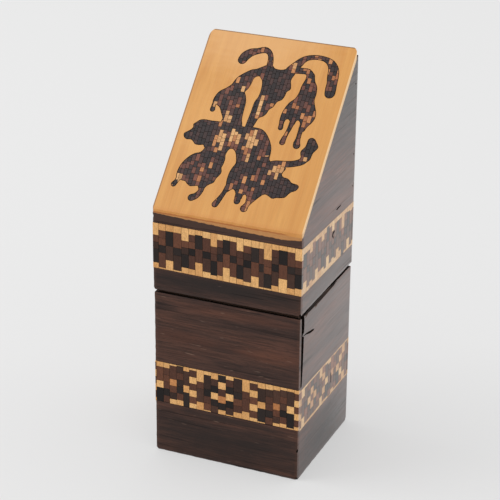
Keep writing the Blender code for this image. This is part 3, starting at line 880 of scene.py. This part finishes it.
def turn_ends(piece, place):
    """Give the faces that look left or right the same woods as another place has them."""
    first = len(piece.data.materials)
    for wood in WOODS[place]:
        piece.data.materials.append(wood)
    for face in piece.data.polygons:
        if abs(face.normal.x) > SIDEWAYS:
            face.material_index += first


def make_band(node, first_column, seed, columns=None):
    body, side, _ = node.split("_")
    chance = random.Random(seed)
    low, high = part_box(node)
    size = high - low
    facing = side in ("front", "back")
    along, thickness = (size.x, size.y) if facing else (size.y, size.x)
    columns = columns or chance_columns(along / MM, chance, *EDGE_SQUARES[body])
    place = "level" if facing else "side"
    laying = (CHARTS[body], first_column, place, chance)
    face = lay_band(node + "_mosaic", columns, size.z, thickness - FACE_END, *laying)
    end_gap = BED_END_GAP if facing else 0
    bed = block(node + "_bed", (end_gap, BED_START, 0), (along - end_gap, thickness, size.z))
    bed.data.materials.append(grime_and_shade)
    carry_to_side(face, side, low, high)
    carry_to_side(bed, side, low, high)
    if facing:
        turn_ends(face, "side")
    band = join([face, bed], node + "_mosaic")
    wander(band, body, side)
    return band


# For each band its first column of the chart, its seed and, where the photo shows them, its columns
LAYINGS = {
    "lid_front_band": (0, 11, LID_FRONT_COLUMNS),
    "lid_right_band": (2, 12, LID_RIGHT_COLUMNS),
    "lid_back_band": (1, 13),
    "lid_left_band": (3, 14),
    "base_front_band": (-10, 21, BASE_FRONT_COLUMNS),
    "base_right_band": (10, 22, BASE_RIGHT_COLUMNS),
    "base_back_band": (-2, 23),
    "base_left_band": (3, 24),
}
bands = {node: make_band(node, *laying) for node, laying in LAYINGS.items()}
tones = {round(item.value, 3) for item in bands["lid_front_band"].data.attributes["tone"].data}
print("tones on the lid's front band:", len(tones))

# %% [markdown]
# ## Honey wood for the slope
#
# The panel's wood is pale and close-grained, and its old polish has gone honey yellow. The grain
# climbs the slope. The polish has worn off along the right arris, which shows pale, and the left and
# back arrises are darker. An orange tint and a fine dark line run along the front arris, partly dirt
# and partly painted shade of its rounding, and below it a dark stain creeps up.

# %% The panel's material
PANEL_THICKNESS = 0.7 * MM
CASE_WIDTH = 31
STAIN_LEVEL = 50.6
STAIN_WAVE = 1.1
slope_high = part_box("slope_panel")[1].z
SLOPE_ANGLE = math.atan2(slope_high - SLOPE_FRONT, 2 * lid_half.y)
slope_out = Vector((0, -math.sin(SLOPE_ANGLE), math.cos(SLOPE_ANGLE)))
slope_start = Vector((0, -lid_half.y, SLOPE_FRONT))
PANEL_SPOTS = [
    ((-7, -1, 66), (11, 10, 13), 0.18, (238, 186, 116)),
    ((-5, 14, 82), (20, 13, 15), 0.48, (230, 180, 124)),
]


def make_panel_wood():
    wood = Wood("honey_wood", ALONG_X, 0.42, 0.25, 0.2, 0.25)
    wood.size_grain(2.2, 0.20, 0.13, 0.20)
    climb = wood.turned(wood.millimetres, (-SLOPE_ANGLE, 0, 0))
    wood.link(wood.turned(climb, ALONG_Y), wood.grain.inputs["Vector"])
    base = wood.ramp(wood.figure, (0.34, (205, 143, 73)), (0.64, (214, 155, 83)))
    base = wood.shade(base, wood.streaks, 0.34, 0.62, 0.95, 1.02)
    base = wood.mix(wood.times(wood.pores, 0.25), base, (168, 112, 66))
    base = wood.stain(base, PANEL_SPOTS)
    x, y, z = (wood.axis(name) for name in "XYZ")
    ragged = wood.noise(1.1, 3)
    rise = wood.math("MULTIPLY_ADD", ragged, -0.3, z)
    front = wood.fade(y, -13.2, -13.4)
    line = (wood.fade(rise, 51.68, 51.82), wood.fade(rise, 52.12, 51.94), wood.fade(x, 13.0, 11.5))
    # The front's orange tint and dark line are partly dirt and partly painted shade of the rounded front
    # arris; the left and back arrises are darker.
    for share, tint, *masks in (
        (0.75, (244, 212, 168), wood.fade(x, 15.24, 15.40)),
        (0.70, (120, 78, 48), wood.fade(x, -15.15, -15.42)),
        (0.70, (96, 64, 42), wood.fade(y, 13.42, 13.54)),
        (0.30, (196, 124, 62), wood.fade(y, -13.0, -13.6)),
        (0.62, (144, 64, 12), front, *line),
        (0.40, (148, 106, 76), front, wood.fade(rise, 51.86, 51.66)),
    ):
        base = wood.mix(wood.times(share, *masks), base, tint)
    across = wood.math("MULTIPLY_ADD", x, 1 / CASE_WIDTH, 0.5)
    wave = wood.ramp(across, *greys((0, 0.95), (0.29, 0.64), (0.6, 0.32), (0.87, 0.14), (1, 0.5)))
    level = wood.math("MULTIPLY_ADD", ragged, 0.4, wood.math("MULTIPLY_ADD", wave, STAIN_WAVE, STAIN_LEVEL))
    stain = wood.fade(wood.math("SUBTRACT", z, level), 0.08, -0.06)
    base = wood.mix(wood.times(stain, wood.fade(y, -13.3, -13.5)), base, (62, 38, 27))
    return wood.finish(base, wood.streaks, 0.01 * MM)


honey_wood = make_panel_wood()
print("panel material:", honey_wood.name, "with", len(PANEL_SPOTS), "soft spots")

# %% [markdown]
# ## The worn veneers
#
# The plain strips above and below each band are thin rosewood. Each is sawn from a block at its CAD
# size. Old veneer isn't straight any more: handling has rubbed the arrises, most of all at the front.
# A strip's outer arrises are eased first. Then its faces are scored into a fine net, and a cloudy
# texture pushes the points near the arrises inwards by uneven amounts.

# %% Wear
RUB_REACH = 0.7 * MM
RUB_DEPTH = 0.15 * MM
BACK_SHARE = 0.3
SCORE_STEP = 0.8 * MM
ARRIS = 0.16 * MM
cloudy = bpy.data.textures.new("cloudy_wear", "CLOUDS")
cloudy.noise_scale = 0.9 * MM
cloudy.noise_depth = 2


def corner_line(half):
    """How far a point is from the box's nearest upright corner."""
    return lambda point: math.hypot(abs(point.x) - half.x, abs(point.y) - half.y)


def face_line(half, height):
    """How far a point is from the edge where the outer face meets a height."""

    def distance(point):
        inside = min(half.x - abs(point.x), half.y - abs(point.y))
        return math.hypot(inside, point.z - height)

    return distance


def rub(piece, lines):
    """Ease the arrises that lie on the lines, and wear them unevenly."""
    on_line = lambda start, end: any(max(line(start), line(end)) < SLACK for line in lines)
    ease(piece, on_line, ARRIS, 3)
    longest = 0 if piece.dimensions.x > piece.dimensions.y else 1
    score(piece, longest, SCORE_STEP)
    score(piece, 2, SCORE_STEP)
    group = piece.vertex_groups.new(name="worn")
    for vertex in piece.data.vertices:
        nearest = min(line(vertex.co) for line in lines)
        handled = 1 if vertex.co.y < 0 or nearest < lines[0](vertex.co) else BACK_SHARE
        group.add([vertex.index], max(0, 1 - nearest / RUB_REACH) * handled, "REPLACE")
    apply(piece, "DISPLACE", texture=cloudy, vertex_group="worn", strength=-RUB_DEPTH, mid_level=0.0)
    piece.vertex_groups.clear()


def mark_worn(piece, line):
    """Store how near each point is to a worn arris, for the material to read."""
    values = [max(0, 1 - line(vertex.co) / RUB_REACH) for vertex in piece.data.vertices]
    piece.data.attributes.new("worn", "FLOAT", "POINT").data.foreach_set("value", values)
    smooth(piece, lambda face: max(abs(value) for value in face.normal) > 0.9999)


print("wear up to", round(RUB_DEPTH / MM, 2), "mm deep, within", round(RUB_REACH / MM, 2), "mm of an arris")


# %% [markdown]
# The lid's four upper strips end under the slope, so they are sawn off along it. Each strip comes
# right up to its band. The edges that meet at the seam are bare and dirty, and their dark grime also
# stands for painted shade in the seam. The ends that the front and back strips turn to the sides have
# the sides' finish, and the strip under the panel's front goes over into honey wood above its dark
# stain.

# %% Saw and wear the sixteen strips
TO_BAND = 0.09 * MM
UNDER_PANEL = 0.03 * MM
FLAT = 0.9
STAINED = STAIN_LEVEL * MM
veneers = {}
for node in sorted(name for name in nodes if name.endswith("veneer")):
    body, side, level, _ = node.split("_")
    low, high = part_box(node)
    half = HALVES[body]
    seam = low.z if body == "lid" else high.z
    if level == "upper":
        low.z -= TO_BAND
    else:
        high.z += TO_BAND
    if side in ("left", "right"):
        low.y -= TO_CORNER
        high.y += TO_CORNER
    strip = block(node + "_worn", low, high)
    lines = [corner_line(half)]
    if level == "upper" and body == "lid":
        saw(strip, slope_start - slope_out * (PANEL_THICKNESS - UNDER_PANEL), slope_out)
    else:
        edge = high.z if level == "upper" else low.z
        lines.append(face_line(half, edge))
    rub(strip, lines)
    wander(strip, body, side)
    for finish in (rosewood_level_x, rosewood_level_y, grime_and_shade, honey_wood):
        strip.data.materials.append(finish)
    for face in strip.data.polygons:
        face.material_index = 0 if side in ("front", "back") and abs(face.normal.x) < SIDEWAYS else 1
        # Faces at the seam take the dark grime: dirt, and painted shade in the seam's gap.
        if abs(face.normal.z) > FLAT and abs(face.center.z - seam) < RUB_REACH:
            face.material_index = 2
        if node == "lid_front_upper_veneer" and face.center.z > STAINED and face.normal.y < -FLAT:
            face.material_index = 3
    veneers[node] = (strip, lines)
print("worn strips:", len(veneers), "slope", round(math.degrees(SLOPE_ANGLE), 1), "degrees")

# %% [markdown]
# ## Damage
#
# The case has had a long life. The glue of one corner has let go: the right side's upper strip has
# pulled back from the corner and left a dark open joint, with a split running off it. The lid has a
# crack and three small marks on its right side. Small flakes have gone from the corners, and the rim
# is hollow on the right. Each of these is cut with a small shape that carries the material of the
# break. An outline is drawn from a filled circle, whose points are moved to the outline's, and is
# then extruded through the veneer. The corners that use has rounded are sawn off at a slant.


# %% Tools for damage
CUTTER_REACH = 0.2 * MM


def outline_cutter(points, push):
    """A shape with this outline, extruded along a direction."""
    bpy.ops.object.select_all(action="DESELECT")
    bpy.ops.mesh.primitive_circle_add(vertices=len(points), fill_type="NGON")
    cutter = bpy.context.object
    for vertex, point in zip(cutter.data.vertices, points):
        vertex.co = point
    open_all(cutter)
    bpy.ops.mesh.extrude_region_move(TRANSFORM_OT_translate={"value": push})
    bpy.ops.mesh.select_all(action="SELECT")
    bpy.ops.mesh.normals_make_consistent(inside=False)
    close(cutter)
    cutter.data.materials.append(grime_and_shade)
    return cutter


def strip_of(name):
    return veneers[name + "_veneer"][0]


def right_cutter(piece, outline, stands, depth):
    """A cutter on the right face. An outline's points are (from the lid's front, height), in mm."""
    x = max(vertex.co.x for vertex in piece.data.vertices) + stands
    points = [(x, along * MM - lid_half.y, height * MM) for along, height in outline]
    return outline_cutter(points, (-depth, 0, 0))


def cut_right(name, outline, depth):
    """Cut into the right face of a strip."""
    strip = strip_of(name)
    carve(strip, right_cutter(strip, outline, CUTTER_REACH, depth + CUTTER_REACH))


def flake(name, place, size, turn=(0.3, 0.5, 0.2), finish=grime_and_shade):
    """Break a flake out of a strip. The place is in mm from the middle of the case's foot."""
    bpy.ops.object.select_all(action="DESELECT")
    pose = {"location": Vector(place) * MM, "rotation": turn, "scale": size}
    bpy.ops.mesh.primitive_ico_sphere_add(subdivisions=2, radius=MM, **pose)
    chip = settle("chip")
    chip.data.materials.append(finish)
    carve(strip_of(name), chip)


# %% Cut the damage
OPEN_JOINT = [
    (0.5, 35.6), (2.2, 35.6), (2.15, 34.4), (2.2, 33.0), (2.1, 31.6), (1.4, 31.3), (1.35, 31.0),
    (2.05, 30.7), (2.0, 29.0), (1.95, 27.4), (1.85, 25.2), (1.75, 23.6), (1.6, 22.0), (1.4, 20.2),
    (0.5, 20.1),
]
SPLIT = [
    (1.8, 31.05), (3.0, 30.98), (4.2, 30.78), (5.4, 30.5), (6.4, 30.38), (7.5, 30.02), (7.0, 29.78),
    (6.0, 29.92), (5.2, 30.02), (4.0, 30.4), (2.9, 30.72), (1.8, 30.85),
]
LID_CRACK = [(17.3, 51.14), (18.6, 51.32), (20.3, 51.3), (19.6, 51.02), (17.9, 50.9)]
MARK = [(25.9, 0.16), (26.7, 0.1), (26.7, -0.14), (26.2, -0.1)]
MARK_HEIGHTS = (74.0, 59.6, 52.9)
# The faces cut for the open joint and the split take the nearly black grime: end grain and old glue, and
# painted shade deep in the joint.
for outline in (OPEN_JOINT, SPLIT):
    cut_right("base_right_upper", outline, 0.7 * MM)
cut_right("lid_right_upper", LID_CRACK, 0.3 * MM)
for height in MARK_HEIGHTS:
    cut_right("lid_right_upper", [(along, height + rise) for along, rise in MARK], 0.2 * MM)

for chip in (
    ("base_front_lower", (-15.5, -13.5, -0.05), (0.7, 0.6, 0.55)),
    ("base_front_lower", (15.45, -13.6, 0.1), (0.55, 0.5, 0.9)),
    ("base_front_lower", (15.5, -13.6, 6.9), (0.3, 0.28, 0.8)),
    ("lid_front_lower", (-15.55, -13.7, 35.7), (0.45, 0.5, 0.5)),
    ("lid_front_lower", (15.4, -13.75, 35.6), (0.65, 0.42, 1.0), (0.2, 0.1, 0.6)),
    ("lid_front_upper", (-15.6, -13.6, 50.9), (0.3, 0.4, 0.6)),
):
    flake(*chip)
# The lid's two back corners are worn round at the top, under the panel's
for side, node in ((1, "lid_right"), (1, "lid_back"), (-1, "lid_left"), (-1, "lid_back")):
    tip = Vector((side * lid_half.x, lid_half.y - 0.7 * MM, slope_high))
    saw(strip_of(node + "_upper"), tip, Vector((side, 1, 0.4)).normalized())
# The foot's back right corner is worn round
for node in ("base_right_lower", "base_back_lower"):
    for rise, direction in ((0.9, (1, 1, -1)), (0.6, (1, 1, -2)), (1.3, (1, 1, -0.5))):
        saw(strip_of(node), Vector((*base_half, rise * MM)), Vector(direction).normalized())
# The rim's right side is hollowed, with two deeper bites
flake("base_right_upper", (15.85, -3.6, 35.2), (0.9, 12.5, 0.65), (0, 0, 0), bare_rosewood)
for along, size in ((3.4, 0.4), (8.6, 0.5)):
    flake("base_right_upper", (15.5, along - 13.65, 34.75), (0.25, size * 3, 0.26), finish=bare_rosewood)
print("damage cut")

# %% [markdown]
# Two cracks run through squares of the right-hand bands. They are too fine to cut, and old wax has
# filled them, so each is a sliver of grime that lies in the face.

# %% Lay the cracks
CRACK_STANDS = 0.003 * MM
HOOK = [
    (16.0, 47.05), (17.1, 46.95), (16.9, 46.68), (16.4, 46.6), (16.15, 46.2), (16.5, 45.5), (16.1, 45.6),
    (15.65, 46.2), (15.75, 46.7),
]
BAND_CRACK = [(17.25, 15.8), (17.45, 15.7), (17.6, 15.0), (17.55, 13.6), (17.35, 13.4), (17.2, 14.6)]
for node, outline in (("lid_right_band", HOOK), ("base_right_band", BAND_CRACK)):
    sliver = right_cutter(bands[node], outline, CRACK_STANDS, CUTTER_REACH)
    bands[node] = join([bands[node], sliver], bands[node].name)
print("cracks laid: 2")

# %% [markdown]
# With the damage cut, each strip stores how worn its points are, rides on its half of the case and
# stands in for its CAD node. The bands do the same.

# %% Hand the skin over
for node, (strip, lines) in veneers.items():
    mark_worn(strip, lines[0])
    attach(strip, node.split("_")[0])
    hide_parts(node)
for node, band in bands.items():
    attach(band, node.split("_")[0])
    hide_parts(node)
print("skin pieces:", len(veneers) + len(bands))

# %% [markdown]
# ## The slope's panel
#
# The panel is a thin board, sawn from a block by two parallel planes. Its upright corners are rounded
# first, the back ones more than the front ones. Then the front arris is rounded and the rest of the
# top's arris eased, and last the pocket for the spray is cut with a copy of the CAD spray whose top
# is pulled up.


# %% Model the panel
PANEL_BLOCK_LOW = 48 * MM
PANEL_BLOCK_HIGH = 83 * MM
BACK_CORNERS = 1.2 * MM
FRONT_CORNERS = 0.45 * MM
FRONT_ARRIS = 0.8 * MM
TOP_ARRIS = 0.22 * MM


def on_slope_top(point, slack=SLACK):
    return near((point - slope_start).dot(slope_out), 0, slack)


def make_panel():
    panel = block("slope_panel_board", (*-lid_half, PANEL_BLOCK_LOW), (*lid_half, PANEL_BLOCK_HIGH))
    saw(panel, slope_start, slope_out)
    saw(panel, slope_start - slope_out * PANEL_THICKNESS, -slope_out)
    upright = lambda start, end: near((end - start).xy.length, 0)
    on_top = lambda start, end: on_slope_top(start) and on_slope_top(end)
    in_front = lambda start, end: near(start.y, -lid_half.y) and near(end.y, -lid_half.y)
    ease(panel, lambda start, end: upright(start, end) and start.y > 0, BACK_CORNERS, 6)
    ease(panel, lambda start, end: upright(start, end) and start.y < 0, FRONT_CORNERS, 4)
    ease(panel, lambda start, end: on_top(start, end) and in_front(start, end), FRONT_ARRIS, 5)
    ease(panel, lambda start, end: on_top(start, end) and not near(start.x, end.x, MM), TOP_ARRIS, 3)
    pocket = copy_of("slope_spray", "pocket")
    for vertex in pocket.data.vertices:
        if on_slope_top(vertex.co):
            vertex.co += slope_out * MM
    pocket.data.materials.append(grime_and_shade)
    panel.data.materials.append(honey_wood)
    carve(panel, pocket)
    smooth(panel, lambda face: face.area > 0.5 * MM * MM or abs(face.normal.dot(slope_out)) > 0.999)
    return panel


panel = make_panel()
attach(panel, "lid")
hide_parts("slope_panel")
print("panel faces:", len(panel.data.polygons))

# %% [markdown]
# ## The inlaid spray
#
# The spray is sawn from mosaic too, so it is full of small sticks that stand in upright columns.
# They are laid as a sheet of slips in the slope's own flat coordinates, turned on to the slope, and
# then cut to the outline of the CAD spray. Most are dark. The pale ones gather in a few clusters,
# and some leaves are plain dark wood.

# %% Where the slips are pale, russet or plain
PALE_PATCHES = [
    (14.1, 15.0, 14.9, 18.5), (15.0, 16.0, 12.9, 18.9), (16.1, 17.0, 16.0, 19.2), (16.0, 16.8, 13.3, 14.1),
    (7.5, 8.2, 17.0, 18.9), (8.3, 9.1, 14.2, 18.7), (9.2, 9.9, 14.0, 17.6), (10.7, 11.4, 15.4, 17.3),
    (10.7, 11.4, 18.1, 19.1), (11.5, 12.3, 17.0, 18.6), (12.5, 13.2, 16.2, 18.0), (8.5, 9.3, 20.2, 22.3),
    (9.4, 10.0, 19.7, 21.5), (14.4, 15.3, 22.6, 26.2), (18.3, 19.1, 32.4, 33.2), (19.2, 20.0, 32.3, 33.9),
    (26.4, 27.1, 33.4, 34.2), (27.9, 28.6, 30.4, 31.2), (21.5, 22.5, 10.4, 13.0), (22.5, 23.4, 11.5, 13.1),
    (20.6, 21.4, 11.0, 11.8), (25.9, 26.6, 15.1, 16.0), (26.7, 27.6, 14.6, 15.5), (10.4, 11.0, 27.0, 27.8),
    (13.9, 14.8, 7.1, 7.8), (13.2, 13.8, 6.1, 6.9), (2.6, 3.9, 6.6, 7.6), (5.4, 6.0, 22.8, 23.6),
]
RUSSET_PATCHES = [
    (21.4, 22.4, 17.2, 19.9), (24.0, 25.2, 17.2, 20.0), (23.6, 25.0, 28.4, 30.9), (23.6, 25.2, 25.0, 26.7),
    (27.1, 27.9, 29.3, 31.0), (16.3, 17.0, 24.0, 25.7), (19.5, 20.4, 7.9, 10.4), (17.7, 18.5, 8.6, 10.5),
    (15.1, 15.8, 8.9, 10.3), (16.8, 17.5, 6.7, 8.3), (5.8, 6.5, 8.7, 10.3), (7.4, 8.2, 7.6, 9.8),
    (18.0, 19.4, 14.0, 16.2), (7.7, 8.4, 24.6, 26.0), (10.3, 11.0, 23.4, 25.0), (20.0, 20.9, 20.4, 22.0),
    (17.4, 19.0, 3.0, 6.4), (7.6, 8.6, 3.8, 5.2), (9.9, 10.5, 14.6, 16.5),
]
PLAIN_PATCHES = [
    (0, 7.0, 14.4, 20.5), (20.8, 29, 5.5, 11.2), (14.0, 20.2, 26.4, 33.0), (10.9, 13.4, 19.6, 27.0),
    (13.2, 14.4, 12.0, 27.0), (26.6, 28.4, 16.2, 17.6),
]
SLIP_WIDTH = 0.76 * MM
SLIP_HEIGHT = 1.10 * MM
SLIP_JOINT = 0.07 * MM
SLIP_DEPTH = 0.25 * MM
SLIP_REACH = 0.75 * MM
SHEET_LEFT, SHEET_RIGHT = 1.2 * MM, 29.5 * MM
SHEET_LOW, SHEET_HIGH = 2.0 * MM, 37.4 * MM
print("patches:", len(PALE_PATCHES), "pale,", len(RUSSET_PATCHES), "russet,", len(PLAIN_PATCHES), "plain")


def in_patches(patches, x, up):
    return any(left <= x <= right and low <= up <= high for left, right, low, high in patches)


def slip_wood(x, up, chance):
    """The wood of a slip, by where it lies on the panel in mm, and by chance."""
    if in_patches(PALE_PATCHES, x, up):
        return chance.choices("LORK", (72, 12, 7, 9))[0]
    if in_patches(RUSSET_PATCHES, x, up):
        return "O" if chance.random() < 0.30 else "R"
    if in_patches(PLAIN_PATCHES, x, up):
        return chance.choices("KB", (5, 3))[0]
    return chance.choices("KBRO", (36, 28, 26, 10) if up > 30 else (46, 29, 20, 5))[0]


# %% Lay the slips and cut them to the outline
def wall_tree(piece):
    """A search tree of the outline's upright walls alone."""
    points = [vertex.co for vertex in piece.data.vertices]
    walls = [face.vertices for face in piece.data.polygons if abs(face.normal.dot(slope_out)) < 0.5]
    return BVHTree.FromPolygons(points, walls)


def make_slips():
    chance = random.Random(31)
    outline = copy_of("slope_spray", "outline")
    walls = wall_tree(outline)
    on_slope = Matrix.Translation(slope_start) @ Matrix.Rotation(SLOPE_ANGLE - math.radians(90), 4, "X")
    whole, cut = [], []
    x = SHEET_LEFT
    while x < SHEET_RIGHT:
        wide = SLIP_WIDTH * chance.uniform(0.88, 1.1)
        up = SHEET_LOW + SLIP_HEIGHT * chance.random()
        while up < SHEET_HIGH:
            tall = SLIP_HEIGHT * chance.uniform(0.65, 1.4)
            middle = on_slope @ Vector((x + wide / 2 - lid_half.x, SLIP_DEPTH / 2, up + tall / 2))
            nearest, normal, _, distance = walls.find_nearest(middle)
            inside = (middle - nearest).dot(normal) < 0
            if inside or distance < SLIP_REACH:
                letter = slip_wood((x + wide / 2) / MM, (up + tall / 2) / MM, chance)
                low = (x - lid_half.x, chance.uniform(0, 0.01) * MM, up)
                high = (x + wide - SLIP_JOINT - lid_half.x, SLIP_DEPTH, up + tall - SLIP_JOINT)
                slip = copy_stick(letter, "slope", chance.random(), low, high)
                (cut if distance < SLIP_REACH else whole).append(slip)
            up += tall
        x += wide
    print("slips laid:", len(whole), "whole and", len(cut), "to be cut")
    rim = join(cut, "cut_slips")
    rim.data.transform(on_slope)
    carve(rim, outline, "INTERSECT")
    middle = join(whole, "whole_slips")
    middle.data.transform(on_slope)
    return join([rim, middle], "slope_spray_slips")


slips = make_slips()

# %% [markdown]
# The saw that cuts the outline leaves a thin gap all round, which is filled with dark mastic. It
# shows as a fine line round the whole spray. It is a bead: the rim of the CAD spray's top is
# separated as a wire, turned into a curve with a round section, and sunk until only a hair stands
# proud. A bed of the same dark glue lies under the slips and shows in their joints.


# %% The bead and the bed
BEAD_RADIUS = 0.13 * MM
BEAD_SINK = 0.105 * MM
BED_SINK = 0.04 * MM


def make_bead():
    rim = copy_of("slope_spray", "slope_spray_bead")
    mesh = rim.data
    beside = {}
    for face in mesh.polygons:
        for key in face.edge_keys:
            beside.setdefault(key, set()).add(abs(face.normal.dot(slope_out)) > FLAT)
    on_top = lambda edge: all(on_slope_top(mesh.vertices[index].co, 0.005 * MM) for index in edge.vertices)
    open_chosen(rim, lambda edge: on_top(edge) and len(beside[edge.key]) == 2)
    bpy.ops.mesh.select_all(action="INVERT")
    bpy.ops.mesh.delete(type="EDGE")
    close(rim)
    bpy.ops.object.convert(target="CURVE")
    rim = bpy.context.object
    rim.data.bevel_depth = BEAD_RADIUS
    rim.data.bevel_resolution = 1
    bpy.ops.object.convert(target="MESH")
    rim = bpy.context.object
    rim.data.transform(Matrix.Translation(-slope_out * BEAD_SINK))
    rim.data.materials.clear()
    rim.data.materials.append(grime_and_shade)
    return rim


bead = make_bead()
bed = copy_of("slope_spray", "slope_spray_bed")
for vertex in bed.data.vertices:
    if on_slope_top(vertex.co):
        vertex.co -= slope_out * BED_SINK
bed.data.materials.append(grime_and_shade)
spray = join([slips, bead, bed], "slope_spray_slips")
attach(spray, "lid")
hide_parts("slope_spray")
for stick in sticks.values():
    bpy.data.objects.remove(stick)
print("spray faces:", len(spray.data.polygons))

# %% [markdown]
# ## The woods inside
#
# When the lid is off, the carcase and the liner show. The carcase is a plain pale softwood. Its
# outer faces are painted dark, for the glue that holds the veneer and as painted shade where they
# show through gaps. The liner and its partitions are thin slips of the same kind, cleaner inside and
# darkened by fingers along their top edges. The paper under the foot is a worn grey-green.


# %% Carcase, liner and paper
OUTER_FACES = {"X": 14.3, "Y": 12.45}
GLUE_AND_SHADE_FADE = 0.25
DIRT_RISE = 5.0


def make_inner_wood(name, grain, pale, deep, dirt_height, dirt_share):
    wood = Wood(name, grain, 0.7, specular=0.2)
    wood.size_grain(2.2, 0.25, 0.2, 0.25)
    base = wood.ramp(wood.figure, (0.34, deep), (0.62, pale))
    base = wood.shade(base, wood.streaks, 0.34, 0.62, 0.82, 1.05)
    base = wood.mix(wood.times(wood.pores, 0.5), base, (96, 66, 42))
    # The outer faces are painted dark: glue under the veneer, and painted shade where they show in gaps.
    glue_and_shade = [
        wood.fade(wood.math("ABSOLUTE", wood.axis(axis)), start, start + GLUE_AND_SHADE_FADE)
        for axis, start in OUTER_FACES.items()
    ]
    base = wood.mix(wood.math("MAXIMUM", *glue_and_shade), base, (26, 19, 16))
    height = wood.math("MULTIPLY_ADD", wood.noise(0.5, 4), DIRT_RISE, wood.axis("Z"))
    dirt = wood.fade(height, dirt_height, dirt_height + DIRT_RISE)
    base = wood.mix(wood.times(dirt, dirt_share), base, (70, 48, 34))
    return wood.finish(base, wood.streaks, 0.03 * MM)


INNER_LOOKS = {
    "carcase": ((176, 134, 90), (146, 104, 66), 32.0, 0.5),
    "liner": ((206, 174, 128), (180, 144, 98), 42.0, 0.6),
}
inner_woods = {
    (kind, axis): make_inner_wood(f"{kind}_wood_{axis}", grain, *look)
    for kind, look in INNER_LOOKS.items()
    for axis, grain in (("x", ALONG_X), ("y", ALONG_Y))
}

paper = Wood("worn_paper", ALONG_X, 0.85, specular=0.15)
fibre = paper.noise(2.2, 6)
scuffs = paper.times(paper.fade(paper.noise(0.22, 3), 0.52, 0.62), 0.6)
paper_tint = paper.ramp(fibre, (0.32, (66, 84, 70)), (0.66, (96, 114, 96)))
paper_tint = paper.mix(scuffs, paper_tint, (140, 138, 120))
worn_paper = paper.finish(paper_tint, fibre, 0.03 * MM)

for name, node in nodes.items():
    words = set(name.split("_"))
    axis = "y" if words & {"left", "right", "slope"} else "x"
    if "board" in words:
        finish = inner_woods["carcase", axis]
    elif words & {"liner", "partition"}:
        finish = inner_woods["liner", axis]
    elif name == "underside_paper":
        finish = worn_paper
    else:
        continue
    node.data.materials.clear()
    node.data.materials.append(finish)
print("inner finishes:", len(inner_woods) + 1)

# %% [markdown]
# ## The floor and the light
#
# The case stands on a pale sweep in even, soft light. The world gives nearly all of it, and a large
# lamp from the left with a weaker one from the back right give the sides their difference. In the
# photo the floor is hardly shaded, so the camera and reflections see it half lit and half plain pale.

# %% Floor, world and lamps
bpy.ops.object.select_all(action="DESELECT")
bpy.ops.mesh.primitive_plane_add(size=3, location=(0, 0, 0))
floor = bpy.context.object
floor.name = "floor"
floor_material = bpy.data.materials.new("pale_floor")
floor_material.use_nodes = True
sweep = Nodes(floor_material.node_tree)
lit = sweep.tree.nodes["Principled BSDF"]
lit.inputs["Base Color"].default_value = (0.80, 0.80, 0.80, 1)
lit.inputs["Roughness"].default_value = 0.9
lit.inputs["Specular IOR Level"].default_value = 0.0
plain = sweep.add("Emission", {"Color": (0.775, 0.775, 0.775, 1)})
path = sweep.tree.nodes.new("ShaderNodeLightPath").outputs
seen = sweep.math("MAXIMUM", path["Is Camera Ray"], path["Is Glossy Ray"])
seen = sweep.math("MAXIMUM", seen, path["Is Transmission Ray"])
blend = sweep.add("MixShader", {"Fac": sweep.times(seen, 0.5), 1: lit.outputs[0], 2: plain})
sweep.link(blend, sweep.tree.nodes["Material Output"].inputs["Surface"])
floor.data.materials.append(floor_material)
floor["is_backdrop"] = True

world = bpy.data.worlds.new("soft_light")
world.use_nodes = True
background = world.node_tree.nodes["Background"].inputs
background["Color"].default_value = (1, 1, 1, 1)
background["Strength"].default_value = 0.86
bpy.context.scene.world = world
LIT_POINT = Vector((0, 0, 40)) * MM


def hang_lamp(name, place, size, energy):
    """A square lamp that looks at the middle of the case."""
    lamp_data = bpy.data.lights.new(name, "AREA")
    lamp_data.size = size
    lamp_data.energy = energy
    lamp = bpy.data.objects.new(name, lamp_data)
    bpy.context.scene.collection.objects.link(lamp)
    lamp.location = place
    lamp.rotation_euler = (LIT_POINT - lamp.location).to_track_quat("-Z", "Y").to_euler()


hang_lamp("key", (-0.6, -0.2, 0.7), 0.6, 2.5)
hang_lamp("fill", (0.6, 0.3, 0.6), 0.7, 0.7)
print("lamps:", len(bpy.data.lights), "world strength:", round(background["Strength"].default_value, 2))

bpy.context.scene.view_settings.view_transform = "Standard"

# %% Write the sizes and finish
low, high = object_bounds()
print("visual size in mm:", [round((b - a) / MM, 2) for a, b in zip(low, high)])
